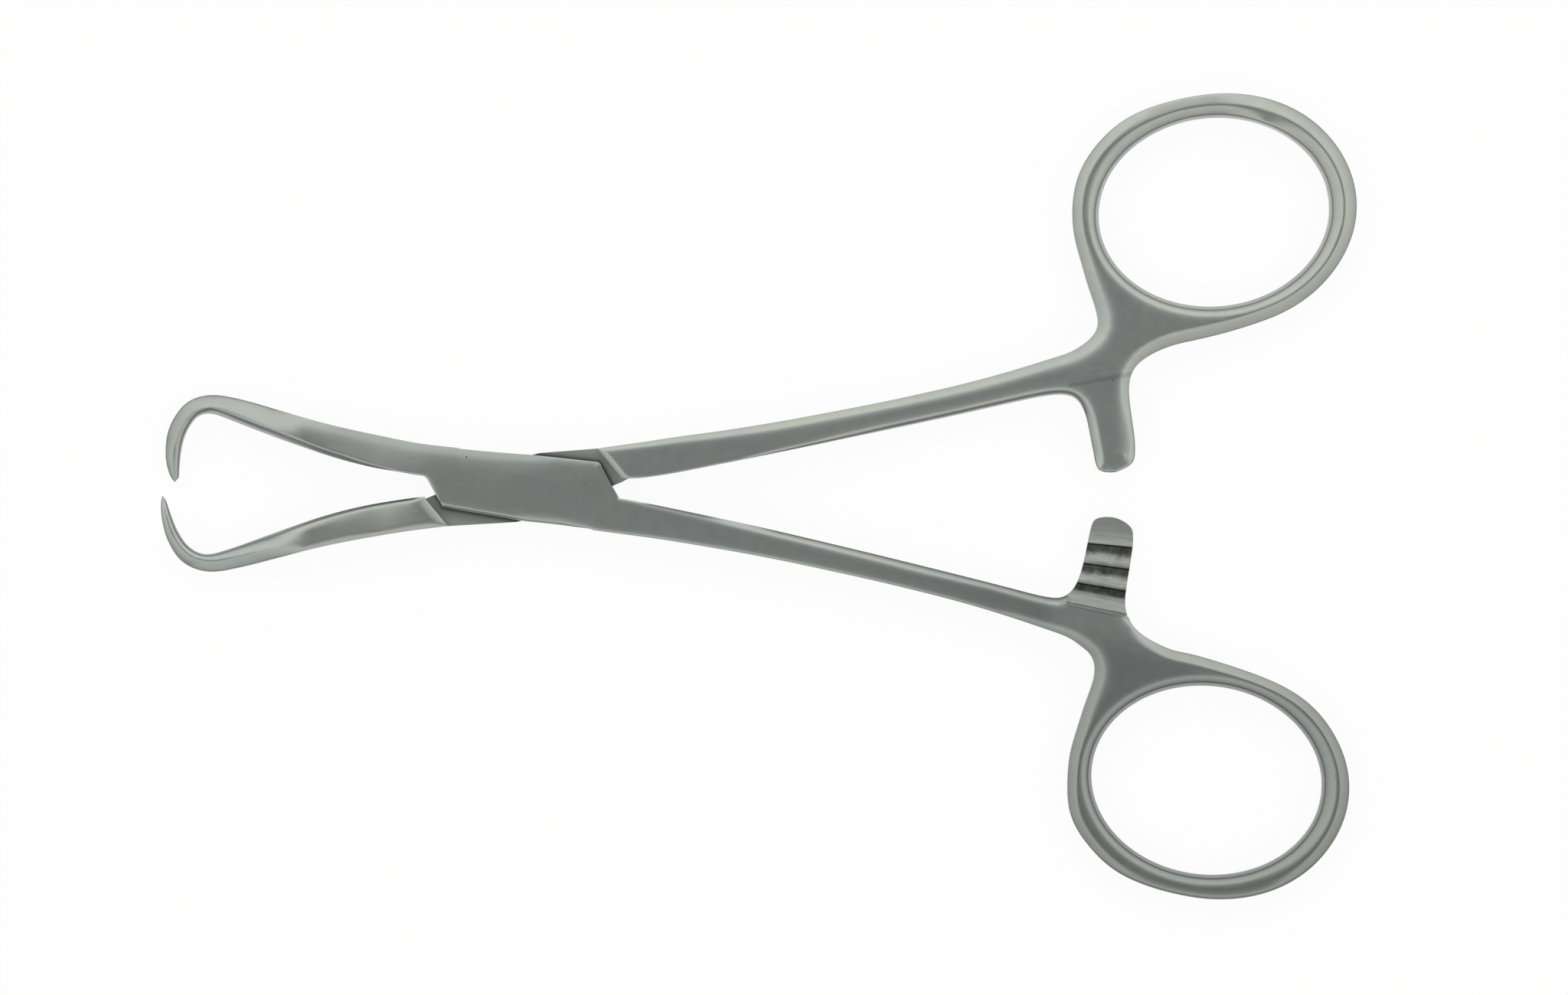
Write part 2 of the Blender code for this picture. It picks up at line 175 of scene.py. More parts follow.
@dataclass
class Outline:
    """Closed outline made of sides; a side is a list of smooth runs that meet in corners.

    A run is a list of rows (x, y) or (x, y, Edge). Where a row names an edge, the edge has
    that form there, and between two such rows it changes evenly along the outline.
    """

    sides: Sequence[Sequence[Sequence[Row]]]
    finest: float = 0.07
    coarsest: float = 0.40
    measured: float = 0.02

    def sampled(self) -> list[tuple[Array, Array]]:
        """Points of the outline, with the depths of its edge.

        Returns:
            For each side, its points and the edge's depths at each of them. The last point of
            a side is the first one of the next.
        """
        sides = []
        for side in self.sides:
            parts = [self._sample(run) for run in side]
            points = [part[0][:-1] for part in parts[:-1]] + [parts[-1][0]]
            depths = [part[1][:-1] for part in parts[:-1]] + [parts[-1][1]]
            sides.append((np.concatenate(points), np.concatenate(depths)))
        return sides

    def _sample(self, run: Sequence[Row]) -> tuple[Array, Array]:
        """One run, with its points closer together where it bends tightly.

        The step is a quarter of the local radius, kept between the finest and the
        coarsest step. Points are spaced evenly in the integral of length over step.

        Args:
            run: Rows of the run.

        Returns:
            Points of the run, and the edge's depths at each of them.
        """
        plan = np.array([row[:2] for row in run], dtype=float)
        knots = np.append(0.0, np.cumsum(np.linalg.norm(np.diff(plan, axis=0), axis=1)))
        fine = np.linspace(0.0, knots[-1], max(int(knots[-1] / self.measured), 40))
        curve = spline(knots, plan, fine) if len(plan) > 2 else \
            plan[0] + (plan[1] - plan[0]) * (fine / knots[-1])[:, None]
        first = np.gradient(curve, fine, axis=0)
        second = np.gradient(first, fine, axis=0)
        speed = np.linalg.norm(first, axis=1)
        bend = np.abs(first[:, 0] * second[:, 1] - first[:, 1] * second[:, 0]) / speed ** 3
        step = np.clip(0.25 / np.maximum(bend, 1e-6), self.finest, self.coarsest)
        travel = np.append(0.0, np.cumsum(np.diff(fine) * speed[1:] / step[1:]))
        count = max(int(math.ceil(travel[-1])), 2)
        at = np.interp(np.linspace(0.0, travel[-1], count + 1), travel, fine)
        marks = [i for i, row in enumerate(run) if len(row) > 2]
        styles = np.array([run[i][2].depth() for i in marks])
        edges = np.stack([np.interp(at, knots[marks], column) for column in styles.T], axis=1)
        return np.stack([np.interp(at, fine, column) for column in curve.T], axis=1), edges


def inward(points: Array) -> Array:
    """Mitred inward vectors of an anticlockwise outline.

    Args:
        points: Points of the outline.

    Returns:
        A vector for each point. Moving every point by its vector moves each side by one.
    """
    ahead = np.roll(points, -1, axis=0) - points
    ahead /= np.linalg.norm(ahead, axis=1)[:, None]
    left = np.stack([-ahead[:, 1], ahead[:, 0]], axis=1)
    before = np.roll(left, 1, axis=0)
    cosine = np.sum(left * before, axis=1)[:, None]
    return (left + before) / np.maximum(1.0 + cosine, 0.35)


def side_depth(plan: Array, line: Array, depths: Array) -> tuple[Array, Array]:
    """Distance of plan points to one side of an outline, and how far its edge lowers them.

    Args:
        plan: Plan points.
        line: Points of the side.
        depths: Depths of the edge at each point of the side.

    Returns:
        Distances, and depths below the flat.
    """
    nearest = np.empty(len(plan), dtype=int)
    for chunk in np.array_split(np.arange(len(plan)), max(len(plan) // CHUNK, 1)):
        gap = plan[chunk, None, :] - line[None, :, :]
        nearest[chunk] = np.argmin(gap[..., 0] ** 2 + gap[..., 1] ** 2, axis=1)
    best, share, start = np.full(len(plan), np.inf), np.zeros(len(plan)), nearest.copy()
    for shift in (-1, 0):
        low = np.clip(nearest + shift, 0, len(line) - 2)
        a, b = line[low], line[low + 1]
        along = b - a
        t = np.sum((plan - a) * along, axis=1) / np.maximum(np.sum(along * along, axis=1), 1e-12)
        t = np.clip(t, 0.0, 1.0)
        off = np.linalg.norm(plan - a - t[:, None] * along, axis=1)
        better = off < best
        best, share = np.where(better, off, best), np.where(better, t, share)
        start = np.where(better, low, start)
    rows = depths[start] * (1.0 - share)[:, None] + depths[start + 1] * share[:, None]
    k = np.clip(np.searchsorted(DEPTHS, best, side="right") - 1, 0, len(DEPTHS) - 2)
    t = np.clip((best - DEPTHS[k]) / (DEPTHS[k + 1] - DEPTHS[k]), 0.0, 1.0)
    index = np.arange(len(plan))
    return best, rows[index, k] * (1.0 - t) + rows[index, k + 1] * t


def within(points: Array, ring: Array) -> Array:
    """Tell which points lie inside a closed ring, by counting crossings to their right.

    Args:
        points: Plan points.
        ring: Points of the ring.

    Returns:
        True for each point inside.
    """
    x, y = points[:, 0][:, None], points[:, 1][:, None]
    x0, y0 = ring[:, 0][None], ring[:, 1][None]
    x1, y1 = np.roll(ring[:, 0], -1)[None], np.roll(ring[:, 1], -1)[None]
    spans = (y0 > y) != (y1 > y)
    with np.errstate(divide="ignore", invalid="ignore"):
        cut = x0 + (y - y0) * (x1 - x0) / (y1 - y0)
    return np.sum(spans & (x < cut), axis=1) % 2 == 1


def filled(loops: Sequence[Array], extra: Array, links: Array) -> tuple[Array, Array]:
    """Triangles between an outer loop and its holes that use further points inside.

    Args:
        loops: The outer loop and then the holes.
        extra: Points inside.
        links: Pairs of the further points that must be joined by an edge.

    Returns:
        Plan points and triangles that index them.
    """
    everything = np.concatenate([*loops, extra])
    edges, first = [], 0
    for loop in loops:
        index = np.arange(len(loop)) + first
        edges += np.stack([index, np.roll(index, -1)], axis=1).tolist()
        first += len(loop)
    edges += (links + first).tolist()
    made = delaunay_2d_cdt([Vector(p) for p in everything.tolist()], edges, [], 1, SNAP)
    plan = np.array([tuple(v) for v in made[0]], dtype=float)
    faces = np.array(made[2], dtype=int)
    centres = plan[faces].mean(axis=1)
    keep = within(centres, loops[0])
    for hole in loops[1:]:
        keep &= ~within(centres, hole)
    return plan, faces[keep]


def staggered(low: Array, high: Array, spacing: float) -> Array:
    """Staggered grid of plan points over a box.

    Args:
        low: Low corner of the box.
        high: High corner.
        spacing: Distance of the points in a row.

    Returns:
        The points.
    """
    x, y = np.meshgrid(np.arange(low[0], high[0], spacing),
                       np.arange(low[1], high[1], spacing * GRID_ROW))
    x[1::2] += spacing / 2
    return np.stack([x.ravel(), y.ravel()], axis=1)


# Meshes

def new_object(name: str, points: Array, faces: Iterable[Sequence[int]]) -> bpy.types.Object:
    """Object at the origin from points in millimetres and faces that index them.

    Args:
        name: Name of the object.
        points: Corner points.
        faces: Corner indices of each face.

    Returns:
        The object, with doubled points merged and its faces turned outwards.
    """
    mesh = bpy.data.meshes.new(name)
    mesh.from_pydata((points * MM).tolist(), [], [list(f) for f in faces])
    bm = bmesh.new()
    bm.from_mesh(mesh)
    bmesh.ops.remove_doubles(bm, verts=bm.verts, dist=MERGED)
    bmesh.ops.dissolve_degenerate(bm, edges=bm.edges, dist=SLIVER)
    bmesh.ops.recalc_face_normals(bm, faces=bm.faces)
    bm.to_mesh(mesh)
    bm.free()
    item = bpy.data.objects.new(name, mesh)
    bpy.context.scene.collection.objects.link(item)
    return item


def grid_faces(rows: int, columns: int) -> Array:
    """Quads of a grid of points stored row by row, whose last column meets the first.

    Args:
        rows: Number of rows.
        columns: Number of columns.

    Returns:
        Corner indices of each quad.
    """
    i = np.arange(rows - 1)[:, None]
    j = np.arange(columns)[None, :]
    k = (j + 1) % columns
    quads = np.stack(np.broadcast_arrays(i * columns + j, i * columns + k,
                                         (i + 1) * columns + k, (i + 1) * columns + j), axis=2)
    return quads.reshape(-1, 4)


def prism(name: str, plan: Array, bottom: float, top: float) -> bpy.types.Object:
    """Upright solid on a closed plan outline between two heights.

    Args:
        name: Name of the object.
        plan: Points of the outline.
        bottom: Height of the lower end.
        top: Height of the upper end.

    Returns:
        The solid.
    """
    count = len(plan)
    points = np.concatenate([np.column_stack([plan, np.full(count, z)]) for z in (bottom, top)])
    ends = [list(range(count)), list(range(count, 2 * count))]
    return new_object(name, points, grid_faces(2, count).tolist() + ends)


def lathe(name: str, profile: Array, sides: int = 96) -> bpy.types.Object:
    """Solid of revolution about the pin's axis.

    Point (i, j) is at the profile's radius i, turned by j whole shares of a circle, and at
    the profile's height i. The first and last radius are closed with a disc.

    Args:
        name: Name of the object.
        profile: Rows (radius, height).
        sides: Number of shares of the circle.

    Returns:
        The solid.
    """
    angle = np.arange(sides) * 2 * math.pi / sides
    x = profile[:, :1] * np.cos(angle)
    y = profile[:, :1] * np.sin(angle)
    z = np.broadcast_to(profile[:, 1:], x.shape)
    points = np.stack([x, y, z], axis=2).reshape(-1, 3)
    last = len(profile) * sides
    ends = [list(range(sides)), list(range(last - sides, last))]
    return new_object(name, points, grid_faces(len(profile), sides).tolist() + ends)


def combine(target: bpy.types.Object, other: bpy.types.Object, cut: Cut) -> None:
    """Boolean of two solids, kept in the first one's mesh.

    Args:
        target: Solid that is changed.
        other: Second solid, which is removed afterwards.
        cut: What is done with it.
    """
    modifier = target.modifiers.new("cut", "BOOLEAN")
    modifier.operation = cut.value
    modifier.solver = "EXACT"
    modifier.object = other
    bpy.context.view_layer.update()
    graph = bpy.context.evaluated_depsgraph_get()
    mesh = bpy.data.meshes.new_from_object(target.evaluated_get(graph))
    target.modifiers.clear()
    target.data = mesh
    bpy.data.objects.remove(other, do_unlink=True)


def drill(item: bpy.types.Object, radius: float) -> None:
    """Cut the pin's bore right through a solid."""
    combine(item, lathe("bore", np.array([(radius, -1.0), (radius, 6.0)])), Cut.REMOVE)


def smooth(item: bpy.types.Object) -> None:
    """Smooth shading, with a crease where faces meet at more than the crease's angle."""
    item.data.shade_smooth()
    item.data.set_sharp_from_angle(angle=CREASE)


def mirrored(item: bpy.types.Object, centre: Sequence[float], factors: Sequence[float]) -> None:
    """Mirror a mesh in place and turn its faces outwards.

    Args:
        item: Object whose mesh is mirrored.
        centre: Centre, millimetres.
        factors: Factor of each axis, 1 or -1.
    """
    mesh = item.data
    flat = np.empty(len(mesh.vertices) * 3)
    mesh.vertices.foreach_get("co", flat)
    middle = np.array(centre) * MM
    points = (flat.reshape(-1, 3) - middle) * np.array(factors) + middle
    mesh.vertices.foreach_set("co", points.ravel())
    mesh.flip_normals()
    mesh.update()


# Finishes

class Sock:
    """A shader socket that takes part in Python arithmetic; each operator adds a Math node."""

    def __init__(self, tree: "Tree", socket: bpy.types.NodeSocket) -> None:
        """Wrap a socket of a node tree."""
        self.tree, self.socket = tree, socket

    def _math(self, operation: str, *values: object) -> "Sock":
        """Math node of an operation on values or sockets."""
        return self.tree.node("ShaderNodeMath", {"operation": operation},
                              dict(enumerate(values)))

    def __add__(self, other: object) -> "Sock":
        """Sum."""
        return self._math("ADD", self, other)

    def __sub__(self, other: object) -> "Sock":
        """Difference."""
        return self._math("SUBTRACT", self, other)

    def __rsub__(self, other: object) -> "Sock":
        """Difference from a number."""
        return self._math("SUBTRACT", other, self)

    def __mul__(self, other: object) -> "Sock":
        """Product."""
        return self._math("MULTIPLY", self, other)

    def __truediv__(self, other: object) -> "Sock":
        """Quotient."""
        return self._math("DIVIDE", self, other)

    __radd__, __rmul__ = __add__, __mul__

    def call(self, operation: str, *values: object) -> "Sock":
        """Any other Math operation with this socket first."""
        return self._math(operation, self, *values)

    def between(self, low: float, high: float) -> "Sock":
        """Smooth step from 0 at the low value to 1 at the high one."""
        return self.tree.node("ShaderNodeMapRange", {"interpolation_type": "SMOOTHSTEP"},
                              {"Value": self, "From Min": low, "From Max": high})


class Tree:
    """Node tree of a material or a world."""

    def __init__(self, owner: bpy.types.ID) -> None:
        """Start an empty tree on a material or world."""
        owner.use_nodes = True
        self.nodes, self.links = owner.node_tree.nodes, owner.node_tree.links
        self.nodes.clear()

    def node(self, kind: str, settings: dict[str, object] | None = None,
             inputs: dict[object, object] | None = None, output: object = None) -> Sock:
        """Add a node, set its settings first and then its sockets.

        Args:
            kind: Node type.
            settings: Attributes of the node; "stops" are a ramp's (position, colour) rows.
            inputs: Values or sockets by input name or index.
            output: Name or index of the output wanted, the first shown one if None.

        Returns:
            The wrapped output socket.
        """
        node = self.nodes.new(kind)
        for key, value in (settings or {}).items():
            if key == "stops":
                elements = node.color_ramp.elements
                while len(elements) > 1:
                    elements.remove(elements[-1])
                for i, (position, colour) in enumerate(value):
                    element = elements[0] if i == 0 else elements.new(position)
                    element.position, element.color = position, colour
            else:
                setattr(node, key, value)
        for key, value in (inputs or {}).items():
            socket = node.inputs[key]
            if isinstance(value, Sock):
                self.links.new(value.socket, socket)
            else:
                socket.default_value = value
        outputs = [s for s in node.outputs if s.enabled]
        if not outputs:
            return Sock(self, None)
        return Sock(self, node.outputs[output] if output is not None else outputs[0])

    def vector(self, operation: str, *values: object, output: object = None) -> Sock:
        """Vector Math node of an operation."""
        return self.node("ShaderNodeVectorMath", {"operation": operation},
                         dict(enumerate(values)), output)

    def join(self, x: object, y: object, z: object) -> Sock:
        """Vector of three numbers or sockets."""
        return self.node("ShaderNodeCombineXYZ", None, {0: x, 1: y, 2: z})

    def split(self, vector: Sock) -> tuple[Sock, Sock, Sock]:
        """The three numbers of a vector."""
        first = self.node("ShaderNodeSeparateXYZ", None, {0: vector})
        return tuple(Sock(self, output) for output in first.socket.node.outputs)

    def noise(self, vector: Sock, scale: float, detail: float = 2.0,
              roughness: float = 0.5) -> Sock:
        """Noise from 0 to 1."""
        return self.node("ShaderNodeTexNoise", None,
                         {"Vector": vector, "Scale": scale, "Detail": detail,
                          "Roughness": roughness})

    def mix(self, factor: object, first: object, second: object) -> Sock:
        """Mix of two colours."""
        return self.node("ShaderNodeMix", {"data_type": "RGBA"},
                         {0: factor, 6: first, 7: second}, 2)


PITS_AND_PAINTED_SHADE = (0.03, 0.03, 0.03, 1.0)           # dark of the real pits; painted shade in gullets, on a wall and along seams
STAIN = (0.33, 0.34, 0.32, 1.0)             # faint brownish spots
SCRATCH = (0.60, 0.61, 0.59, 1.0)           # bright brush lines
PAINTED_RECESS_SHADE = (0.24, 0.262, 0.258, 1.0)            # painted shade over the sunk faces of the lock
STREAKS_AND_SHEEN = (0.68, 0.69, 0.66, 1.0)            # bright streaks of the ratchet's face, partly a painted highlight
CLEAN_STEEL = (0.45, 0.46, 0.44, 1.0)
DULLER_STEEL = (0.41, 0.425, 0.415, 1.0)
WHITE = (1.0, 1.0, 1.0, 1.0)


@dataclass(frozen=True)
class SatinSteel:
    """Satin stainless steel, finely brushed along the half and round its finger ring.

    Attributes:
        base: Colour of the clean metal.
        tint: Bluish film that shows in faint clouds.
        roughness: Mean roughness.
        grain_angle: Direction of the brush lines along the half, degrees.
        ring_centre: Centre of the finger ring, about which the lines turn there.
        specks: Small dark pits as (x, y, radius).
        ring_shade: Share of its colour that the steel keeps at the finger ring, a painted shade.
        seams: Lines (x, y, x, y) in the sunk faces of the lock along which a painted shadow lies.
        side: Side of the clamp that the half's ring is on, 1 or -1.
    """

    name: str
    base: tuple = CLEAN_STEEL
    tint: tuple = (0.405, 0.43, 0.445, 1.0)
    roughness: float = 0.21
    grain_angle: float = 0.0
    ring_centre: tuple = (75.75, 31.3)
    specks: tuple = ()
    ring_shade: float = 1.0
    seams: tuple = ()
    side: float = 1.0

    def put_on(self, item: bpy.types.Object) -> None:
        """Make this steel the object's only material."""
        item.data.materials.clear()
        item.data.materials.append(self.material())

    def material(self) -> bpy.types.Material:
        """Make the material, worked out in millimetres and in degrees about the pin.

        Returns:
            The material.
        """
        material = bpy.data.materials.new(self.name)
        tree = Tree(material)
        place = tree.node("ShaderNodeTexCoord", None, None, "Object")
        where = tree.vector("MULTIPLY", place, (1 / MM, 1 / MM, 1 / MM))
        x, y, z = tree.split(where)
        reach = (x * x + y * y).call("SQRT")
        angle = (y * self.side).call("ARCTAN2", x) * (180.0 / math.pi)
        height, scratch = self._grain(tree, x, y, z)
        clouds = tree.noise(where, 0.14, 3.0).between(0.42, 0.66)
        stain = tree.noise(where, 0.9, 4.0, 0.6).between(0.35, 0.75)
        pits = self._pits(x, y)
        colour = tree.mix(clouds * 0.75, self.base, self.tint)
        colour = tree.mix(stain * 0.10, colour, STAIN)
        colour = tree.mix(scratch * 0.07, colour, SCRATCH)
        shade = self._shade(x, reach, angle)
        colour = tree.vector("MULTIPLY", colour, tree.join(shade, shade, shade))
        colour = tree.mix(pits, colour, PITS_AND_PAINTED_SHADE)
        rough = self.roughness + scratch * 0.02 + stain * 0.04 + pits * 0.4
        if self.seams:
            # Painted shade over the sunk faces and a painted shadow along the seams; the added
            # roughness is real
            sunk, recess_shade, seam_shadow = self._sunk(x, y, z, reach)
            colour = tree.mix(sunk * recess_shade, colour, PAINTED_RECESS_SHADE)
            colour = tree.mix(sunk * seam_shadow * 0.80, colour, PITS_AND_PAINTED_SHADE)
            rough = rough + sunk * 0.22
        # Painted shade in the gullets and on the ratchet's end wall; the bright streaks are partly
        # a painted highlight
        milled, gullet_shade, streaks, wall = self._teeth(tree, z, reach, angle)
        colour = tree.mix(wall * 0.20, colour, PITS_AND_PAINTED_SHADE)
        colour = tree.mix(milled * streaks, colour, STREAKS_AND_SHEEN)
        colour = tree.mix(gullet_shade, colour, PITS_AND_PAINTED_SHADE)
        rough = rough + milled * 0.12 + gullet_shade * 0.2
        bump = tree.node("ShaderNodeBump", None,
                         {"Strength": 0.16, "Distance": 0.00002, "Height": height})
        shader = tree.node("ShaderNodeBsdfPrincipled", None,
                           {"Base Color": colour, "Metallic": 1.0, "Roughness": rough,
                            "Normal": bump})
        tree.node("ShaderNodeOutputMaterial", None, {"Surface": shader})
        return material

    def _shade(self, x: Sock, reach: Sock, angle: Sock) -> Sock:
        """Share of its colour that the steel keeps, a painted shade: less from the shank on to the
        ring.

        At the foot of the ratchet arm the painted shade is lifted, and it comes back within 3
        degrees.

        Args:
            x: Position along the clamp.
            reach: Distance from the pin's axis.
            angle: Direction from it, degrees from the clamp's length.

        Returns:
            The share.
        """
        foot = reach.between(58.5, 60.5) * angle.between(11.3, 11.7)
        foot = foot * (1.0 - angle.between(12.5, 15.5))
        return 1.0 - x.between(30.0, 66.0) * (1.0 - foot) * (1.0 - self.ring_shade)

    def _sunk(self, x: Sock, y: Sock, z: Sock, reach: Sock) -> tuple[Sock, Sock, Sock]:
        """Masks of the sunk faces beside the tongue, which get painted shade and a painted shadow.

        Args:
            x: Position along the clamp.
            y: Position across it.
            z: Height.
            reach: Distance from the pin's axis.

        Returns:
            Where a face is sunk, how strong its painted shade is there (more on the -Y side),
            and the painted shadow, which is dense at a seam and fades within 1.5 mm of it.
        """
        sunk = 1.0 - (z - MIDDLE).call("ABSOLUTE").between(TONGUE_HALF + 0.03, TONGUE_HALF + 0.15)
        sunk = sunk * (1.0 - reach.between(11.6, 12.4))
        gap = self._seam_distance(x, y)
        seam_shadow = 1.0 - gap.between(0.05, 0.50) * 0.65 - gap.between(0.3, 1.5) * 0.35
        recess_shade = (1.0 - y.between(-1.0, 1.0)) * 0.26 + 0.42
        return sunk, recess_shade, seam_shadow

    def _grain(self, tree: Tree, x: Sock, y: Sock, z: Sock) -> tuple[Sock, Sock]:
        """Brush lines: noise stretched along the half, and along the ring close to the ring.

        Args:
            tree: Node tree.
            x: Position along the clamp, millimetres.
            y: Position across it.
            z: Height.

        Returns:
            Height for the bump and a mask of the brighter scratches.
        """
        turn = math.radians(self.grain_angle)
        along = x * math.cos(turn) + y * math.sin(turn)
        across = y * math.cos(turn) - x * math.sin(turn)
        dx, dy = x - self.ring_centre[0], y - self.ring_centre[1]
        radius = (dx * dx + dy * dy).call("SQRT")
        angle = dy.call("ARCTAN2", dx)
        straight = tree.join(along * 0.10, across * 3.2, z * 3.2)
        round_it = tree.join(angle * 1.6, radius * 3.2, z * 3.2)
        near = 1.0 - radius.between(15.2, 17.6)
        lines = (tree.noise(straight, 1.0, 4.0, 0.65) * (1.0 - near)
                 + tree.noise(round_it, 1.0, 4.0, 0.65) * near)
        coarse = (tree.noise(tree.join(along * 0.05, across * 0.9, z * 0.9), 1.0, 2.0)
                  * (1.0 - near) + near * 0.5)
        return lines + coarse * 0.6, lines.between(0.55, 0.75)

    def _seam_distance(self, x: Sock, y: Sock) -> Sock:
        """Distance to the nearest of the seams' lines.

        Args:
            x: Position along the clamp.
            y: Position across it.

        Returns:
            The distance.
        """
        gaps = []
        for x0, y0, x1, y1 in self.seams:
            length = math.hypot(x1 - x0, y1 - y0)
            ahead, aside = (x1 - x0) / length, (y1 - y0) / length
            px, py = x - x0, y - y0
            along = (px * ahead + py * aside).call("MAXIMUM", 0.0).call("MINIMUM", length)
            dx, dy = px - along * ahead, py - along * aside
            gaps.append((dx * dx + dy * dy).call("SQRT"))
        nearest = gaps[0]
        for gap in gaps[1:]:
            nearest = nearest.call("MINIMUM", gap)
        return nearest

    def _teeth(self, tree: Tree, z: Sock, reach: Sock, angle: Sock
               ) -> tuple[Sock, Sock, Sock, Sock]:
        """Masks of the milled ratchet face.

        Args:
            tree: Node tree.
            z: Height.
            reach: Distance from the pin's axis.
            angle: Direction from it, degrees from the clamp's length.

        Returns:
            The face, the painted shade behind its crests, its bright streaks with their painted
            highlight, and the painted shade on the wall at its end.
        """
        ratchet = Ratchet()
        last = ratchet.first + (ratchet.teeth - 1) * ratchet.pitch
        level = (z - ratchet.crest).call("ABSOLUTE")
        end = ratchet.base + ratchet.runout
        milled = (reach.between(ratchet.near - 0.6, ratchet.near)
                  * (1.0 - level.between(0.75, 0.85))
                  * (1.0 - angle.between(ratchet.base + 0.05, end)) * angle.between(1.0, 1.5))
        share = ((angle - ratchet.first) / ratchet.pitch).call("FRACT")
        blots = tree.noise(tree.join(angle * 0.8, reach * 0.7, 0.0), 1.0, 3.0, 0.6)
        # Painted shade behind each crest: darkest just behind it, lighter towards the next crest,
        # with random blots
        behind = angle.between(ratchet.first - 0.02, ratchet.first + 0.02)
        behind = behind * (1.0 - angle.between(last + 0.7, last + 1.1))
        spread = share + (blots - 0.5) * 0.5
        dark = 0.87 - spread.between(0.26, 0.68) * 0.60 + share.between(0.80, 1.0) * 0.36
        dark = dark - (blots - 0.5) * 0.45
        streaks = tree.noise(tree.join(angle * 7.0, reach * 0.35, z * 0.5), 1.0, 3.0, 0.6)
        # Painted highlight: the streaks grow brighter towards the first crest and dimmer past the
        # last
        streak_sheen = angle.between(ratchet.first - 1.8, ratchet.first) * 0.5 + 0.15
        streak_sheen = streak_sheen - angle.between(last + 0.9, last + 1.3) * 0.22
        # Painted shade on the steep wall where the floor climbs out of the arm
        wall = (angle.between(ratchet.base - 0.05, ratchet.base + 0.02)
                * (1.0 - angle.between(end - 0.02, end + 0.04)))
        wall = wall * reach.between(ratchet.near - 0.2, ratchet.near + 0.1) * z.between(2.0, 2.1)
        return milled, milled * behind * dark, streaks.between(0.2, 0.8) * streak_sheen, wall

    def _pits(self, x: Sock, y: Sock) -> Sock | float:
        """Mask of the pits.

        Args:
            x: Position along the clamp.
            y: Position across it.

        Returns:
            The mask: 0.8 in the middle of each pit, falling to zero at its rim.
        """
        mask = 0.0
        for px, py, radius in self.specks:
            dx, dy = x - px, y - py
            gap = (dx * dx + dy * dy).call("SQRT")
            mask = mask + (1.0 - gap.between(radius * 0.4, radius)) * 0.8
        return mask


# Shared forms

@dataclass(frozen=True)
class Ring:
    """Finger ring: an oval hole and an outside whose distance from the centre is listed."""

    centre: tuple = (75.75, 31.31)
    hole: tuple = (12.74, 10.39)
    tilt: float = 6.6
    outside: tuple = (
        (-100, 14.50), (-86, 13.45), (-70, 13.10), (-55, 13.42), (-38, 14.10), (-20, 14.93),
        (-2, 15.62), (14, 15.70), (30, 15.30), (45, 14.72), (60, 14.04), (75, 13.42),
        (90, 13.03), (105, 12.97), (120, 13.40), (135, 14.17), (150, 14.86), (165, 15.45),
        (180, 15.60),
    )

    def rim(self, edges: dict[int, Edge], trim: float = 0.0) -> list[Row]:
        """Rows of the outside, from the ratchet arm round to the heel.

        Args:
            edges: Ground edges by the direction from the centre, degrees.
            trim: How much nearer to the centre the side next to the shank is.

        Returns:
            The rows, with an edge wherever one is listed.
        """
        angle, reach = np.array(self.outside, dtype=float).T
        reach = reach - trim * np.interp(angle, (-100, -60, -35, 165, 180), (1, 1, 0, 0, 1))
        turn = np.radians(angle)
        x = self.centre[0] + reach * np.cos(turn)
        y = self.centre[1] + reach * np.sin(turn)
        return edged(zip(x, y), angle.astype(int), edges)

    def opening(self, edges: dict[int, Edge]) -> Outline:
        """The hole: an ellipse turned by the tilt, followed clockwise.

        Args:
            edges: Ground edges by the ellipse's angle, degrees; the first is at 0 and at 360.

        Returns:
            The outline, which is one side.
        """
        degrees = np.arange(360, -1, -10)
        turn = np.radians(degrees)
        tilt = math.radians(self.tilt)
        u, v = self.hole[0] * np.cos(turn), self.hole[1] * np.sin(turn)
        x = self.centre[0] + u * math.cos(tilt) - v * math.sin(tilt)
        y = self.centre[1] + u * math.sin(tilt) + v * math.cos(tilt)
        return Outline([[edged(zip(x, y), degrees.tolist(), edges)]])


# Edge of the finger hole: a steep lip, then a slope that eases into the crest
LIP = Edge(((0, 62), (0.22, 54), (0.40, 49), (0.45, 36), (0.66, 33), (0.78, 28), (0.92, 20),
            (1.08, 12), (1.25, 7), (1.5, 4), (1.8, 2), (2.3, 0)))
# The same lip with its slope carried on to a narrow crest
RIDGED = Edge(((0, 62), (0.18, 54), (0.34, 50), (0.39, 36), (0.60, 33), (0.85, 28), (1.2, 21),
               (1.5, 15), (1.65, 6), (1.75, 0)))
# The same lip, narrower, with a broad land that hardly slopes
LANDED = Edge(((0, 60), (0.2, 51), (0.28, 34), (0.42, 13), (0.52, 6), (0.9, 5), (1.3, 4),
               (1.6, 2), (1.9, 0)))
# Low dome of the ring's outside
DOMED = Edge(((0, 38), (0.10, 22), (0.25, 13), (0.6, 11.5), (0.9, 10), (1.4, 9.5), (1.7, 8),
              (1.9, 0)))
# Outside of the ring up to a narrow crest, and with a wider one
SLOPED = Edge(((0, 40), (0.12, 33), (0.5, 30), (0.9, 25), (1.2, 18), (1.4, 8), (1.5, 0)))
STEEPER = Edge(((0, 40), (0.12, 33), (0.5, 29), (0.85, 22), (1.0, 12), (1.15, 4), (1.3, 0)))


